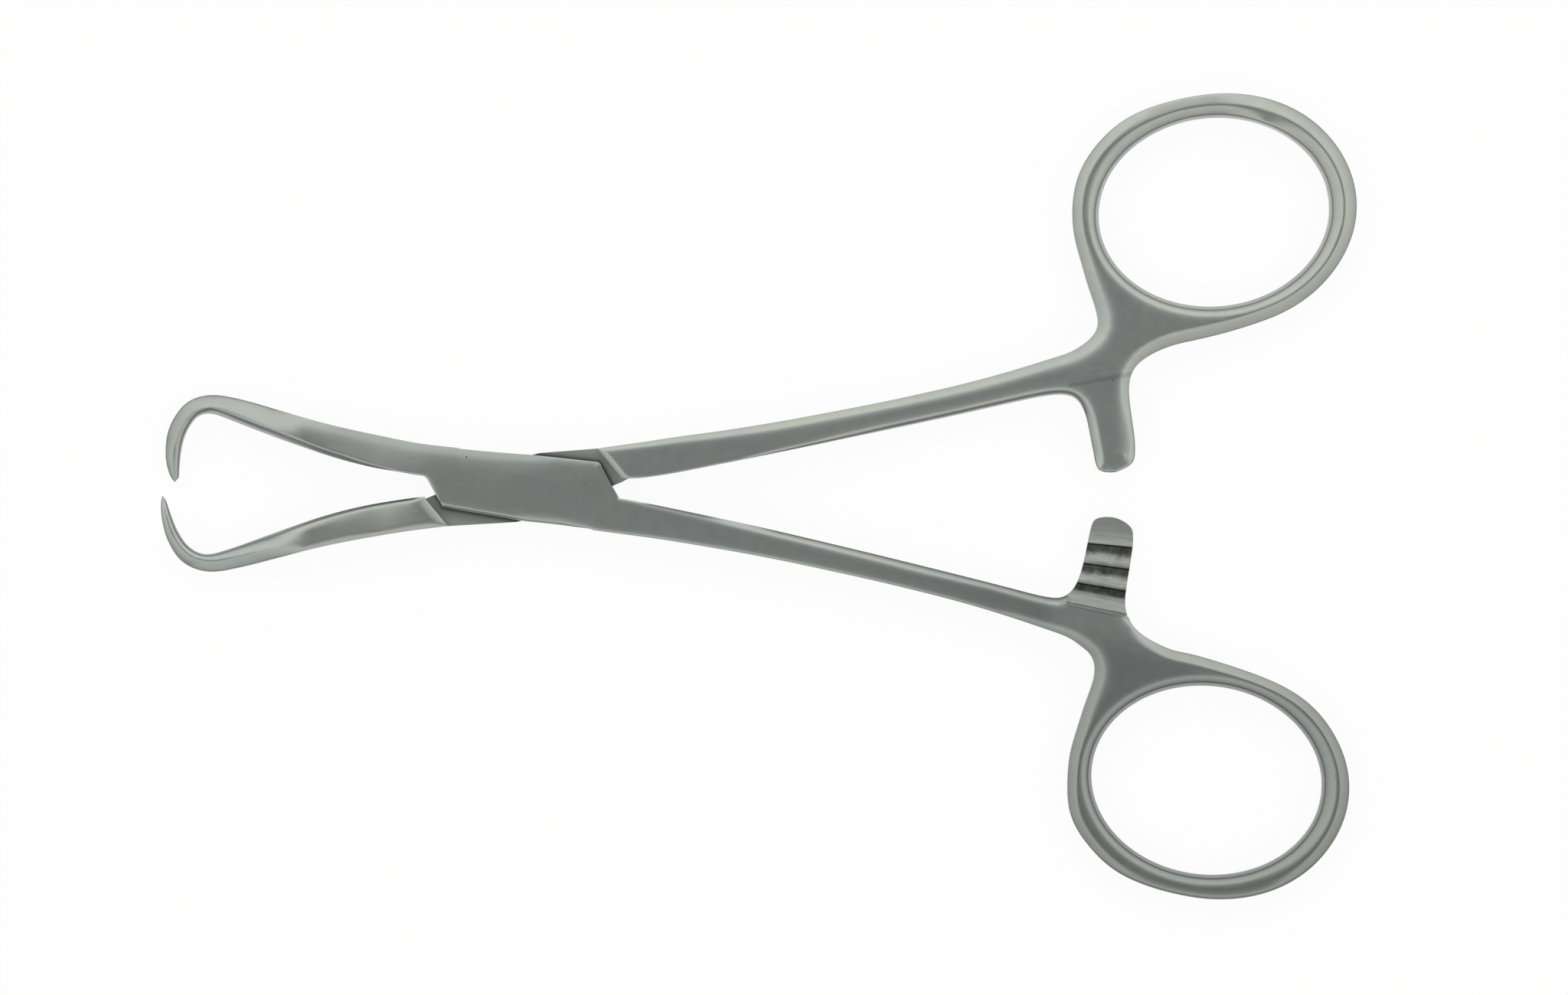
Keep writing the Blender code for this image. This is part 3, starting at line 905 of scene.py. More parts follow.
@dataclass(frozen=True)
class Ratchet:
    """Toothed face of a ratchet arm, laid out by angles about the pin.

    Attributes:
        near: Distance from the pin at which the face begins.
        far: Distance beyond the arm's far side.
        first: Angle of the first crest, degrees.
        pitch: Angle from crest to crest.
        drop: Angle over which the floor falls behind a crest.
        teeth: Number of crests.
        height: Height of a tooth.
        crest: Level of the crests.
        base: Angle at which the floor ends.
        runout: Angle over which it then climbs out of the arm.
        clear: Level above the arm to which it climbs.
        lid: Level of the cutter's lid.
        lead: Floor before the first crest, as rows (angle, share of the tooth's height).
    """

    near: float = 61.2
    far: float = 69.2
    first: float = 4.85
    pitch: float = 2.06
    drop: float = 0.70
    teeth: int = 3
    height: float = 0.52
    crest: float = MIDDLE - 0.06
    base: float = 11.1
    runout: float = 0.4
    clear: float = 5.6
    lid: float = 6.5
    lead: tuple = ((-0.5, 0.50), (2.2, 0.53), (3.0, 0.58), (3.6, 0.67), (4.2, 0.81))

    def cutter(self) -> bpy.types.Object:
        """Solid above the toothed face.

        Point (i, j) is at station angle i; over j it goes round a box between the near and
        far radius, whose floor is the toothed face. The floor rises evenly to each crest and
        falls within the drop angle. Behind the last tooth it climbs gently to the base angle,
        and then steeply out of the arm. The first crest is a little lower than the others.

        Returns:
            The solid.
        """
        rows = list(self.lead)
        for tooth in range(self.teeth):
            crest = self.first + tooth * self.pitch
            rows += [(crest, 1.0 if tooth else 0.99), (crest + 0.25 * self.drop, 0.45),
                     (crest + self.drop, 0.06), (crest + 1.35 * self.drop, 0.10)]
        rows += [(rows[-1][0] + 0.25, 0.12), (self.base, 0.50)]
        angle, share = np.array(rows).T
        floor = self.crest - (1.0 - share) * self.height
        climb = np.linspace(0.0, 1.0, 7)[1:]
        angle = np.append(angle, self.base + self.runout * climb)
        floor = np.append(floor, floor[-1] + (self.clear - floor[-1]) * climb ** 1.8)
        turn = np.radians(angle)
        reach = np.array([self.near, self.far, self.far, self.near])
        x, y = np.outer(np.cos(turn), reach), np.outer(np.sin(turn), reach)
        lid = np.full_like(floor, self.lid)
        z = np.stack([floor, floor, lid, lid], axis=1)
        points = np.stack([x, y, z], axis=2).reshape(-1, 3)
        ends = [[0, 1, 2, 3], list(range(len(points) - 4, len(points)))]
        return new_object("ratchet_cutter", points, grid_faces(len(angle), 4).tolist() + ends)


# Plan of the tongue with the ends of its shoulders, anticlockwise
TONGUE = np.array([
    (10.90, 0.72), (11.94, 1.32), (9.35, 4.38), (8.15, 4.38), (1.78, 3.80), (-0.48, 3.17),
    (-10.70, -1.40), (-11.88, -1.61), (-9.35, -4.38), (-8.15, -4.38), (-0.69, -3.84),
    (1.60, -3.27),
])


def swept_slot(clearance: float = 0.12, steps: int = 720) -> Array:
    """Outline of the slot that the tongue needs over its whole turn.

    The tongue is seen as a reach for every direction about the pin. The slot's reach in a
    direction is the greatest reach that the turning tongue has there, plus the clearance.

    Args:
        clearance: Gap round the tongue.
        steps: Number of directions.

    Returns:
        Points of the outline.
    """
    theta = np.arange(steps) * 2 * math.pi / steps
    a, b = TONGUE, np.roll(TONGUE, -1, axis=0)
    side = b - a
    ray = np.stack([np.cos(theta), np.sin(theta)], axis=1)
    cross = ray[:, None, 0] * side[None, :, 1] - ray[:, None, 1] * side[None, :, 0]
    with np.errstate(divide="ignore", invalid="ignore"):
        reach = (a[None, :, 0] * side[None, :, 1] - a[None, :, 1] * side[None, :, 0]) / cross
        share = (a[None, :, 0] * ray[:, None, 1] - a[None, :, 1] * ray[:, None, 0]) / cross
    good = (reach > 0) & (share >= -1e-9) & (share <= 1 + 1e-9)
    tongue = np.max(np.where(good, reach, 0.0), axis=1)
    turns = np.arange(-round(CLOSING * steps / 360), round(OPENING * steps / 360) + 1)
    slot = np.max(np.stack([np.roll(tongue, t) for t in turns]), axis=0) + clearance
    return ray * slot[:, None]


# The two halves

@dataclass
class SteelHalf:
    """What both halves share: thickness over the plan, edges, ring, shank and jaw.

    Attributes:
        name: Name of the piece.
        tip_lean: How far the hook's tip leaves the lock's mid-plane.
        midline: Middle line of the jaw, from the lock to the tip.
        jaw_halves: Half thickness of the jaw, as rows (distance along that line, value).
        outer_line: Outer side of the shank, from the heel of the ring to the lock.
        thins: Where the shank begins to thin, and over what length.
        jaw_from: Where the jaw's thickness takes over.
        hook_ray: Direction of the jaw from the pin, degrees.
        lean_along: Where along that ray the lean begins, and over what length.
        lean_across: Distance from the ray at which the lean is whole.
    """

    name: str
    tip_lean: float
    midline: tuple
    jaw_halves: tuple
    outer_line: tuple = (
        (60.15, 31.3), (60.42, 28.4), (61.09, 25.9), (61.95, 23.1), (62.5, 21.5),
        (63.03, 19.7), (63.08, 18.6), (62.55, 17.5), (62.0, 16.93), (61.0, 16.19),
        (60.0, 15.65), (58.5, 15.10), (57.0, 14.61), (55.0, 13.96), (52.0, 13.04),
        (48.0, 11.93), (44.0, 10.95), (40.0, 10.03), (36.0, 9.18), (32.0, 8.36),
        (28.0, 7.58), (24.0, 6.87), (20.0, 6.23), (16.0, 5.63),
    )
    thins: tuple = (14.0, 36.0)
    jaw_from: float = -12.0
    hook_ray: float = 14.0
    lean_along: tuple = (33.0, 4.5)
    lean_across: float = 5.5

    def outside(self, edges: dict[int, Edge], moved: Sequence[float] = ()) -> list[Row]:
        """Rows of the shank's outer side, without the first, which is the ring's last.

        Args:
            edges: Ground edges by the row's place in the list.
            moved: How far each of the first rows is moved along the clamp.

        Returns:
            The rows, with an edge wherever one is listed.
        """
        rows = np.array(self.outer_line)
        rows[:len(moved), 0] += moved
        return edged(rows[1:].tolist(), range(1, len(rows)), edges)

    def thickness(self, x: Array, y: Array) -> Array:
        """Half thickness over the plan.

        Full beside the lock, it eases to that of the shank towards the rings. Towards the
        hook it follows the distance along the jaw's middle line.

        Args:
            x: Positions along the clamp.
            y: Positions across it.

        Returns:
            Half thickness at each place.
        """
        shank = np.clip((x - self.thins[0]) / self.thins[1], 0.0, 1.0)
        value = FORGING + (SHANK - FORGING) * (3 * shank ** 2 - 2 * shank ** 3)
        return np.where(x < self.jaw_from, self.jaw_thickness(x, y), value)

    def jaw_thickness(self, x: Array, y: Array) -> Array:
        """Half thickness of the jaw: a listed value along its middle line, eased between.

        Args:
            x: Positions along the clamp.
            y: Positions across it.

        Returns:
            Half thickness at each place.
        """
        line = np.array(self.midline)
        a, b = line[:-1], line[1:]
        side = b - a
        point = np.stack([x.ravel(), y.ravel()], axis=1)
        gap = point[:, None, :] - a[None]
        share = np.clip(np.sum(gap * side, axis=2) / np.sum(side * side, axis=1), 0.0, 1.0)
        off = np.linalg.norm(gap - share[..., None] * side, axis=2)
        lengths = np.append(0.0, np.cumsum(np.linalg.norm(side, axis=1)))
        pick = np.argmin(off, axis=1)
        index = np.arange(len(point))
        travel = lengths[pick] + share[index, pick] * (lengths[pick + 1] - lengths[pick])
        at, value = np.array(self.jaw_halves).T
        eased = spline(at, value[:, None], np.clip(travel, at[0], at[-1]))[:, 0]
        return np.minimum(eased, value[0]).reshape(x.shape)

    def lean(self, x: Array, y: Array) -> Array:
        """Height of the mid surface: the hook leaves the lock's mid-plane towards its tip.

        Args:
            x: Positions along the clamp.
            y: Positions across it.

        Returns:
            Height at each place.
        """
        ray = math.radians(self.hook_ray)
        along = -(x * math.cos(ray) + y * math.sin(ray))
        across = x * math.sin(ray) - y * math.cos(ray)
        reach = np.clip((along - self.lean_along[0]) / self.lean_along[1], 0.0, 1.0)
        ease = reach ** 2 * (3 - 2 * reach)
        return MIDDLE + self.tip_lean * ease * np.clip(-across / self.lean_across, 0.0, 1.0)

    def shell(self, name: str, outlines: Sequence[Outline], spacing: float = 0.62
              ) -> bpy.types.Object:
        """Closed solid of an outline with its ground edge all round.

        Over a plan point the top lies (sum of e^3)^(1/3) below the flat, where the e are the
        depths that the edges of all the sides have there, each by its own distance. So
        two slopes meet in a softened ridge. The underside is the top reflected in the mid
        surface.

        Args:
            name: Name of the object.
            outlines: Outer outline, then its holes.
            spacing: Distance of the points on the flat.

        Returns:
            The solid.
        """
        sides = [outline.sampled() for outline in outlines]
        loops = [np.concatenate([line[:-1] for line, _ in group]) for group in sides]
        flat = [pair for group in sides for pair in group]
        plan, faces = filled(loops, *self.inside_points(loops, flat, spacing))
        below = self.below(plan, flat)[1]
        points = [self.placed(plan, below, face) for face in Face]
        blocks = [faces, faces[:, ::-1] + len(plan)]
        count = 2 * len(plan)
        for loop in loops:
            drop = self.below(loop, flat)[1]
            points += [self.placed(loop, drop, face) for face in Face]
            blocks.append(grid_faces(2, len(loop)) + count)
            count += 2 * len(loop)
        everything = [row for block in blocks for row in block.tolist()]
        return new_object(name, np.concatenate(points), everything)

    @staticmethod
    def below(plan: Array, sides: Sequence[tuple[Array, Array]]) -> tuple[Array, Array]:
        """Depth below the flat from the edges of all the sides.

        Args:
            plan: Plan points.
            sides: Points and depths of every side.

        Returns:
            Distance of each point to the nearest side, and its depth.
        """
        pairs = [side_depth(plan, line, depths) for line, depths in sides]
        off = np.min([pair[0] for pair in pairs], axis=0)
        return off, np.sum([pair[1] ** 3 for pair in pairs], axis=0) ** (1.0 / 3.0)

    def inside_points(self, loops: Sequence[Array], sides: Sequence[tuple[Array, Array]],
                      spacing: float) -> tuple[Array, Array]:
        """Points inside: rows parallel to the outline over its edge, then a grid.

        A point of a row stays only where no other side is nearer than its own.

        Args:
            loops: The outer loop and then the holes.
            sides: Points and depths of every side.
            spacing: Distance of the grid's points.

        Returns:
            The points, and the pairs of them that follow each other in a row.
        """
        found, links, first = [], [], 0
        for loop in loops:
            normals = inward(loop)
            for depth in DEPTHS[ROWS]:
                moved = (loop + normals * depth)[::1 if depth < DENSE else 2]
                keep = self.below(moved, sides)[0] > 0.985 * depth - 0.002
                place = np.cumsum(keep) - 1 + first
                start = np.flatnonzero(keep & np.roll(keep, -1))
                links.append(np.stack([place[start], place[(start + 1) % len(keep)]], axis=1))
                found.append(moved[keep])
                first += int(keep.sum())
        grid = staggered(loops[0].min(axis=0), loops[0].max(axis=0), spacing)
        inside = within(grid, loops[0])
        for hole in loops[1:]:
            inside &= ~within(grid, hole)
        grid = grid[inside]
        found.append(grid[self.below(grid, sides)[0] > GRID_FROM])
        return np.concatenate(found), np.concatenate(links)

    def placed(self, plan: Array, below: Array, face: Face) -> Array:
        """Points over or under the mid surface, a given distance short of the flat.

        Args:
            plan: Plan points.
            below: Distance short of the flat at each of them.
            face: Face that the points are on.

        Returns:
            Points in space.
        """
        x, y = plan.T
        reach = np.maximum(self.thickness(x, y) - below, THINNEST)
        return np.column_stack([x, y, self.lean(x, y) + face.value * reach])

    def finish_mesh(self, item: bpy.types.Object) -> None:
        """Smooth shading with creases, and with one all round every upright wall.

        Args:
            item: The half.
        """
        smooth(item)
        mesh = item.data
        normals = np.empty(len(mesh.polygons) * 3)
        mesh.polygons.foreach_get("normal", normals)
        corners = np.empty(len(mesh.polygons), dtype=np.int32)
        mesh.polygons.foreach_get("loop_total", corners)
        edge = np.empty(len(mesh.loops), dtype=np.int32)
        mesh.loops.foreach_get("edge_index", edge)
        wall = np.repeat(np.abs(normals[2::3]) < UPRIGHT, corners)
        sharp = np.empty(len(mesh.edges), dtype=bool)
        mesh.edges.foreach_get("use_edge_sharp", sharp)
        sharp |= np.bincount(edge, weights=wall, minlength=len(sharp)) == 1
        mesh.edges.foreach_set("use_edge_sharp", sharp)


@dataclass
class InnerHalf(SteelHalf):
    """Half with the tongue, the upper ratchet and the longer hook.

    Its own fields are the ground edges, first of the handle and then of the jaw and the hook.
    """

    name: str = "inner_half"
    tip_lean: float = 0.85
    midline: tuple = ((-8.0, -2.9), (-12.0, -3.1), (-16.0, -3.77), (-20.0, -4.62), (-24.0, -5.72),
                      (-28.0, -7.02), (-32.0, -8.3), (-34.5, -8.75), (-36.6, -8.2), (-38.2, -6.2),
                      (-39.0, -4.4), (-39.45, -2.9), (-39.69, -1.46))
    jaw_halves: tuple = ((0.0, FORGING), (4.0, FORGING), (8.1, 2.43), (12.2, 2.39), (14.3, 2.38),
                         (16.3, 2.375), (17.3, 2.36), (18.2, 2.30), (20.5, 1.97), (24.7, 1.47),
                         (27.6, 1.28), (29.8, 1.15), (32.4, 0.94), (34.4, 0.78), (36.0, 0.58),
                         (37.5, 0.25))

    # Edges of the shoulders and the ratchet arm
    ring_shoulder: Edge = Edge(((0, 40), (0.08, 33), (0.42, 29), (0.52, 14), (0.62, 4), (0.9, 0)))
    arm: Edge = Edge(((0, 42), (0.15, 32), (0.4, 18), (0.6, 13), (0.8, 10), (1.0, 8.5), (1.3, 6.5),
                      (1.7, 4.5), (2.3, 1), (2.6, 0)))
    arm_tip: Edge = Edge(((0, 62), (0.10, 48), (0.14, 12), (0.4, 6), (0.9, 3), (1.5, 0)))
    # Edges of the jaw and the hook
    hook_shoulder: Edge = Edge(((0, 16), (0.2, 13), (0.6, 10.5), (0.85, 8), (1.05, 3), (1.4, 0)))
    low: Edge = Edge(((0, 30), (0.15, 20), (0.4, 14), (0.55, 11), (0.66, 4), (0.9, 1), (1.2, 0)))
    round_out: Edge = Edge(((0, 56), (0.08, 46), (0.13, 34), (0.6, 28), (1.0, 23), (1.4, 15),
                            (1.7, 6), (2.0, 0)))
    hook_out: Edge = round_out.scaled(0.62)
    roll: Edge = Edge(((0, 55), (0.12, 46), (0.3, 40), (0.42, 15), (0.5, 10.5), (0.7, 9),
                       (0.9, 7.5), (1.5, 6.5), (2.4, 5), (3.1, 3), (3.8, 1.5), (4.2, 0)))
    short_roll: Edge = Edge(((0, 55), (0.15, 46), (0.36, 40), (0.48, 15), (0.6, 10.5), (0.8, 9),
                             (1.0, 7), (1.3, 5), (1.8, 3), (2.4, 1.5), (3.1, 0)))
    start: Edge = Edge(((0, 55), (0.1, 46), (0.28, 39), (0.36, 15), (0.5, 7), (0.8, 3), (1.3, 1),
                        (1.8, 0)))
    bend: Edge = Edge(((0, 58), (0.2, 47), (0.38, 38), (0.48, 22), (0.62, 12), (0.85, 10),
                       (0.95, 4), (1.1, 0)))
    roof: Edge = Edge(((0, 58), (0.2, 46), (0.42, 39), (0.55, 33), (0.8, 27), (1.2, 22), (1.6, 17),
                       (1.8, 10), (2.1, 3), (2.3, 0)))
    hook_in: Edge = Edge(((0, 60), (0.15, 50), (0.24, 38), (0.36, 34), (0.5, 24), (0.7, 13),
                          (0.95, 0)))

    def shank_inside(self) -> list[Row]:
        """From the shoulder along the shank to the tip of the ratchet arm."""
        return [
            (10.90, 1.10, BROKEN), (12.0, 1.14), (13.0, 1.20), (14.0, 1.33, BROKEN.scaled(0.5)),
            (16.0, 1.66), (20.0, 2.47), (24.0, 3.32, BROKEN.scaled(0.7)), (28.0, 4.19),
            (32.0, 5.06, ROLLED.scaled(0.3)), (36.0, 5.95), (40.0, 6.84, ROLLED.scaled(0.5)),
            (44.0, 7.74), (48.0, 8.66), (52.0, 9.61, ROLLED.scaled(0.56)), (55.0, 10.31),
            (57.0, 10.74), (58.2, 10.93), (59.4, 10.98), (60.3, 10.80, ROLLED.scaled(0.6)),
            (61.05, 10.30), (61.6, 9.48), (62.05, 8.20, CRISP), (62.5, 6.04), (62.85, 4.40, CRISP),
            (63.10, 3.30), (63.35, 2.82, self.arm_tip), (63.75, 2.58), (64.4, 2.48, self.arm_tip),
        ]

    def ring_side(self) -> list[Row]:
        """From the tip of the ratchet arm round the ring and back to the shoulder."""
        rows = [
            (64.4, 2.48, self.arm_tip), (65.1, 2.50), (66.0, 2.78), (66.75, 3.22, self.arm_tip),
            (67.22, 3.75), (67.36, 4.5, self.arm), (67.36, 5.6), (67.08, 7.8, self.arm),
            (66.75, 10.0), (66.62, 11.6), (66.75, 12.9, GROUND), (67.3, 14.1, GROUND),
            (68.4, 15.12), (70.2, 16.1, SLOPED), (71.8, 16.68),
        ]
        rows += Ring().rim({-100: SLOPED, -55: SLOPED, 0: STEEPER, 60: SLOPED, 90: DOMED,
                            120: DOMED, 150: STEEPER, 180: STEEPER})
        rows += self.outside({5: GROUND.scaled(1.3), 12: GROUND.scaled(0.98),
                              17: GROUND.scaled(0.83), 20: GROUND.scaled(0.8)})
        return rows + [(14.0, 5.29, GROUND.scaled(0.55)), (12.0, 4.98), (10.0, 4.67),
                       (8.15, 4.38, GROUND.scaled(0.4))]

    def handle(self) -> Outline:
        """Shoulder, shank, ratchet arm and the outside of the ring."""
        shoulder = [(8.15, 4.38, self.ring_shoulder), (10.90, 1.10, self.ring_shoulder)]
        return Outline([[self.shank_inside()], [self.ring_side()], [shoulder]])

    def jaw_outside(self) -> list[Row]:
        """From the shoulder along the jaw and round the hook to its tip."""
        return [
            (-8.15, -4.38, self.low), (-10.0, -4.62), (-12.0, -4.90, self.low), (-14.0, -5.22),
            (-16.0, -5.58), (-18.0, -5.96), (-20.0, -6.37, self.low), (-22.0, -6.82),
            (-24.0, -7.33, self.low.scaled(0.8)), (-26.0, -7.88), (-28.0, -8.45, self.round_out),
            (-30.0, -8.99), (-32.0, -9.46, self.round_out), (-33.0, -9.66), (-34.0, -9.76),
            (-35.0, -9.70), (-36.0, -9.45, self.round_out.scaled(0.8)), (-37.0, -8.98),
            (-38.0, -8.08), (-38.7, -7.02, self.hook_out), (-39.2, -5.92), (-39.58, -4.5),
            (-39.80, -2.93, self.hook_out.scaled(0.5)), (-39.78, -2.0),
            (-39.69, -1.46, self.hook_out.scaled(0.2)),
        ]

    def jaw_inside(self) -> list[Row]:
        """From the tip back inside the hook and along the jaw to the shoulder."""
        return [
            (-39.69, -1.46, self.hook_in.scaled(0.15)), (-39.5, -1.64),
            (-39.0, -2.66, self.hook_in.scaled(0.6)), (-38.5, -4.04), (-38.0, -5.20, self.hook_in),
            (-37.5, -6.05), (-37.0, -6.72), (-36.5, -7.17), (-36.0, -7.50),
            (-35.0, -7.80, self.hook_in.scaled(1.1)), (-34.0, -7.74), (-33.0, -7.46),
            (-32.0, -7.13, self.roof.scaled(0.7)), (-30.0, -6.40), (-28.0, -5.64, self.roof),
            (-26.0, -4.89), (-24.0, -4.17, self.bend), (-22.0, -3.50),
            (-20.0, -2.91, self.short_roll), (-18.0, -2.40), (-16.0, -1.98, self.roll),
            (-14.0, -1.63), (-12.0, -1.32, self.start), (-10.88, -1.18, BROKEN),
        ]

    def jaw(self) -> Outline:
        """Shoulder, jaw and the longer hook."""
        shoulder = [(-10.88, -1.18, self.hook_shoulder), (-8.15, -4.38, self.hook_shoulder)]
        sides = (self.jaw_outside(), shoulder, self.jaw_inside())
        return Outline([[side[::-1]] for side in sides])

    def build(self) -> bpy.types.Object:
        """Make the half's mesh.

        Returns:
            The half.
        """
        ring = Ring().opening({0: RIDGED, 30: RIDGED, 60: LANDED, 80: RIDGED, 120: RIDGED,
                               180: LIP, 220: LIP, 290: LIP, 360: RIDGED})
        tongue = prism("tongue", TONGUE, MIDDLE - TONGUE_HALF, MIDDLE + TONGUE_HALF)
        item = self.shell(self.name, [self.handle(), ring])
        combine(item, self.toothed(), Cut.REMOVE)
        combine(item, self.shell("jaw", [self.jaw()], spacing=0.5), Cut.JOIN)
        combine(item, tongue, Cut.JOIN)
        drill(item, Pin.radius + BORE_GAPS[1])
        self.finish_mesh(item)
        return item

    def toothed(self) -> bpy.types.Object:
        """Cutter of the teeth, turned over, so that they face down."""
        cutter = Ratchet().cutter()
        mirrored(cutter, (0.0, 0.0, MIDDLE), (1.0, 1.0, -1.0))
        return cutter

    def dress(self, item: bpy.types.Object) -> None:
        """Give the half its steel.

        Args:
            item: The half.
        """
        # Lines along which a painted shadow lies on the sunk faces
        seams = ((0.67, 3.61, 8.35, 2.84), (8.55, 2.62, 10.62, -1.10),
                 (0.47, -3.76, -8.68, -2.30), (-8.68, -2.30, -10.55, 0.86))
        SatinSteel("satin_steel_inner", grain_angle=9.0, specks=((64.82, 12.64, 0.17),),
                   seams=seams).put_on(item)


@dataclass
class OuterHalf(SteelHalf):
    """Half with the cheeks and the slot, the lower ratchet and the shorter hook.

    Its own fields are where the cheek's face begins to sink towards the shank and over what
    length, and the ground edges.
    """

    name: str = "outer_half"
    tip_lean: float = -0.85
    midline: tuple = ((-8.0, -2.9), (-12.0, -3.1), (-16.0, -3.72), (-20.0, -4.56), (-24.0, -5.65),
                      (-28.0, -6.9), (-32.0, -8.15), (-34.5, -8.7), (-36.4, -8.1), (-37.9, -6.5),
                      (-38.5, -4.6), (-38.65, -2.9), (-38.5, -1.5), (-38.35, -0.08))
    jaw_halves: tuple = ((0.0, 2.5), (4.0, 2.49), (8.1, 2.43), (12.1, 2.37), (14.2, 2.35),
                         (16.3, 2.34), (17.5, 2.30), (20.5, 1.94), (24.7, 1.47), (27.6, 1.30),
                         (29.8, 1.20), (32.4, 1.07), (34.4, 0.94), (36.0, 0.73), (37.7, 0.40),
                         (39.2, 0.16))

    lock_ends: tuple = (10.0, 5.0)   # where the cheek's face begins to sink, and over what length

    # Edges of the shank, the ring, the ratchet arm and the cheek
    shank_in: Edge = Edge(((0, 48), (0.2, 38), (0.4, 33), (0.6, 23), (0.75, 14), (0.9, 8),
                           (1.2, 4), (1.6, 0)))
    arm: Edge = Edge(((0, 42), (0.15, 32), (0.4, 20), (0.6, 14), (0.8, 9), (1.1, 6), (1.6, 3),
                      (2.2, 0)))
    arm_tip: Edge = Edge(((0, 50), (0.1, 38), (0.25, 25), (0.4, 12), (0.7, 0)))
    seat: Edge = Edge(((0, 3), (0.14, 3), (0.19, 13), (0.34, 9), (0.5, 4), (0.8, 0)))
    rim_low: Edge = Edge(((0, 55), (0.15, 38), (0.32, 20), (0.5, 9), (0.8, 5), (1.3, 2), (1.6, 0)))
    low: Edge = Edge(((0, 38), (0.12, 22), (0.26, 9), (0.5, 4.5), (1.0, 2), (1.8, 0)))
    waist: Edge = Edge(((0, 55), (0.16, 40), (0.28, 18), (0.45, 12), (0.6, 9), (0.8, 7),
                        (1.0, 4.5), (1.3, 1.5), (1.6, 0)))
    front: Edge = Edge(((0, 43), (0.26, 40), (0.36, 6), (0.8, 3), (1.4, 1), (2.0, 0)))
    end: Edge = Edge(((0, 8), (0.1, 2), (0.3, 0)))
    # Edges of the cheek's far side, the jaw and the hook
    crown: Edge = Edge(((0, 14), (0.55, 12.5), (0.8, 10.5), (1.1, 7.5), (1.4, 6), (1.8, 5),
                        (2.4, 3.2), (3.2, 1.5), (4.2, 0)))
    far: Edge = Edge(((0, 22), (0.10, 13), (0.3, 10), (0.5, 7), (0.8, 4.5), (1.2, 3), (2.0, 1.5),
                      (3.0, 0)))
    jaw_crown: Edge = Edge(((0, 14), (0.75, 12.5), (0.95, 10.5), (1.2, 9), (1.5, 7.8), (2.2, 7),
                            (3.1, 6.5), (3.8, 4), (4.2, 0)))
    jaw_mid: Edge = Edge(((0, 20), (0.5, 17), (0.75, 14), (0.9, 12), (1.2, 9.5), (1.4, 8),
                          (1.7, 6), (2.0, 4), (2.3, 0)))
    jaw_roof: Edge = Edge(((0, 42), (0.2, 33), (0.5, 28), (0.9, 23), (1.5, 19), (1.9, 15),
                           (2.1, 10), (2.3, 4), (2.45, 0)))
    hook_out: Edge = Edge(((0, 56), (0.07, 46), (0.12, 34), (0.35, 31), (0.7, 28), (1.0, 22),
                           (1.2, 12), (1.4, 0)))
    hook_in: Edge = Edge(((0, 60), (0.13, 50), (0.22, 38), (0.32, 35), (0.45, 24), (0.62, 12),
                          (0.85, 0)))
    under: Edge = Edge(((0, 60), (0.2, 50), (0.42, 44), (0.58, 38), (0.72, 10), (0.9, 0)))
    under_wide: Edge = Edge(((0, 60), (0.25, 49), (0.5, 43), (0.68, 36), (0.82, 10), (0.95, 0)))

    def thickness(self, x: Array, y: Array) -> Array:
        """Half thickness: as for both halves, but full to the cheek's face over the lock.

        Args:
            x: Positions along the clamp.
            y: Positions across it.

        Returns:
            Half thickness at each place.
        """
        lock = np.clip((x - self.lock_ends[0]) / self.lock_ends[1], 0.0, 1.0)
        value = super().thickness(x, y)
        face = MIDDLE + (FORGING - MIDDLE) * lock ** 2 * (3 - 2 * lock)
        cheek = (x >= self.jaw_from) & (x < sum(self.lock_ends))
        return np.where(cheek, np.maximum(value, face), value)

    def shank_inside(self) -> list[Row]:
        """From the end of the cheek along the shank to the tip of the ratchet arm."""
        return [
            (10.62, 1.10, BROKEN), (11.5, 1.20), (12.6, 1.40, BROKEN), (14.0, 1.64, self.seat),
            (16.0, 2.01), (20.0, 2.79, self.seat.scaled(1.4)), (24.0, 3.59),
            (28.0, 4.43, self.shank_in.scaled(0.8)), (32.0, 5.31),
            (36.0, 6.21, self.shank_in.scaled(0.84)), (40.0, 7.12),
            (44.0, 8.05, self.shank_in.scaled(0.94)), (48.0, 8.99),
            (52.0, 9.95, self.shank_in.scaled(0.78)), (55.0, 10.69), (57.0, 11.16), (58.2, 11.37),
            (59.2, 11.40), (60.1, 11.08, self.shank_in), (60.75, 10.50), (61.35, 9.40),
            (61.75, 8.15, self.arm), (62.1, 6.60), (62.4, 5.00, self.arm), (62.72, 3.55),
            (63.05, 2.82, self.arm_tip), (63.6, 2.53), (64.3, 2.43, self.arm_tip),
        ]

    def ring_side(self) -> list[Row]:
        """From the tip of the ratchet arm round the ring and back to the cheek."""
        rows = [
            (64.3, 2.43, self.arm_tip), (65.1, 2.47), (66.0, 2.76), (66.75, 3.22, self.arm_tip),
            (67.2, 3.75), (67.33, 4.5, self.arm), (67.30, 5.6), (67.02, 7.8, self.arm),
            (66.70, 10.0), (66.55, 11.6), (66.70, 12.9, self.arm),
            (67.3, 14.25, self.low.scaled(1.4)), (68.4, 15.32), (70.3, 16.4),
            (71.9, 17.02, STEEPER),
        ]
        rows += Ring().rim({-100: STEEPER, -20: STEEPER, 30: SLOPED.scaled(0.8),
                            60: self.rim_low, 120: self.rim_low, 150: STEEPER.scaled(0.9),
                            180: STEEPER}, 0.28)
        rows += self.outside({5: GROUND.scaled(1.1), 12: GROUND.scaled(0.6), 14: self.low,
                              17: self.low}, (0.0, 0.28, 0.28, 0.28, 0.28, 0.2, 0.1, 0.1))
        return rows + [(14.0, 5.36, self.low), (12.0, 5.12), (10.0, 4.88),
                       (7.9, 4.62, self.low.scaled(0.8))]

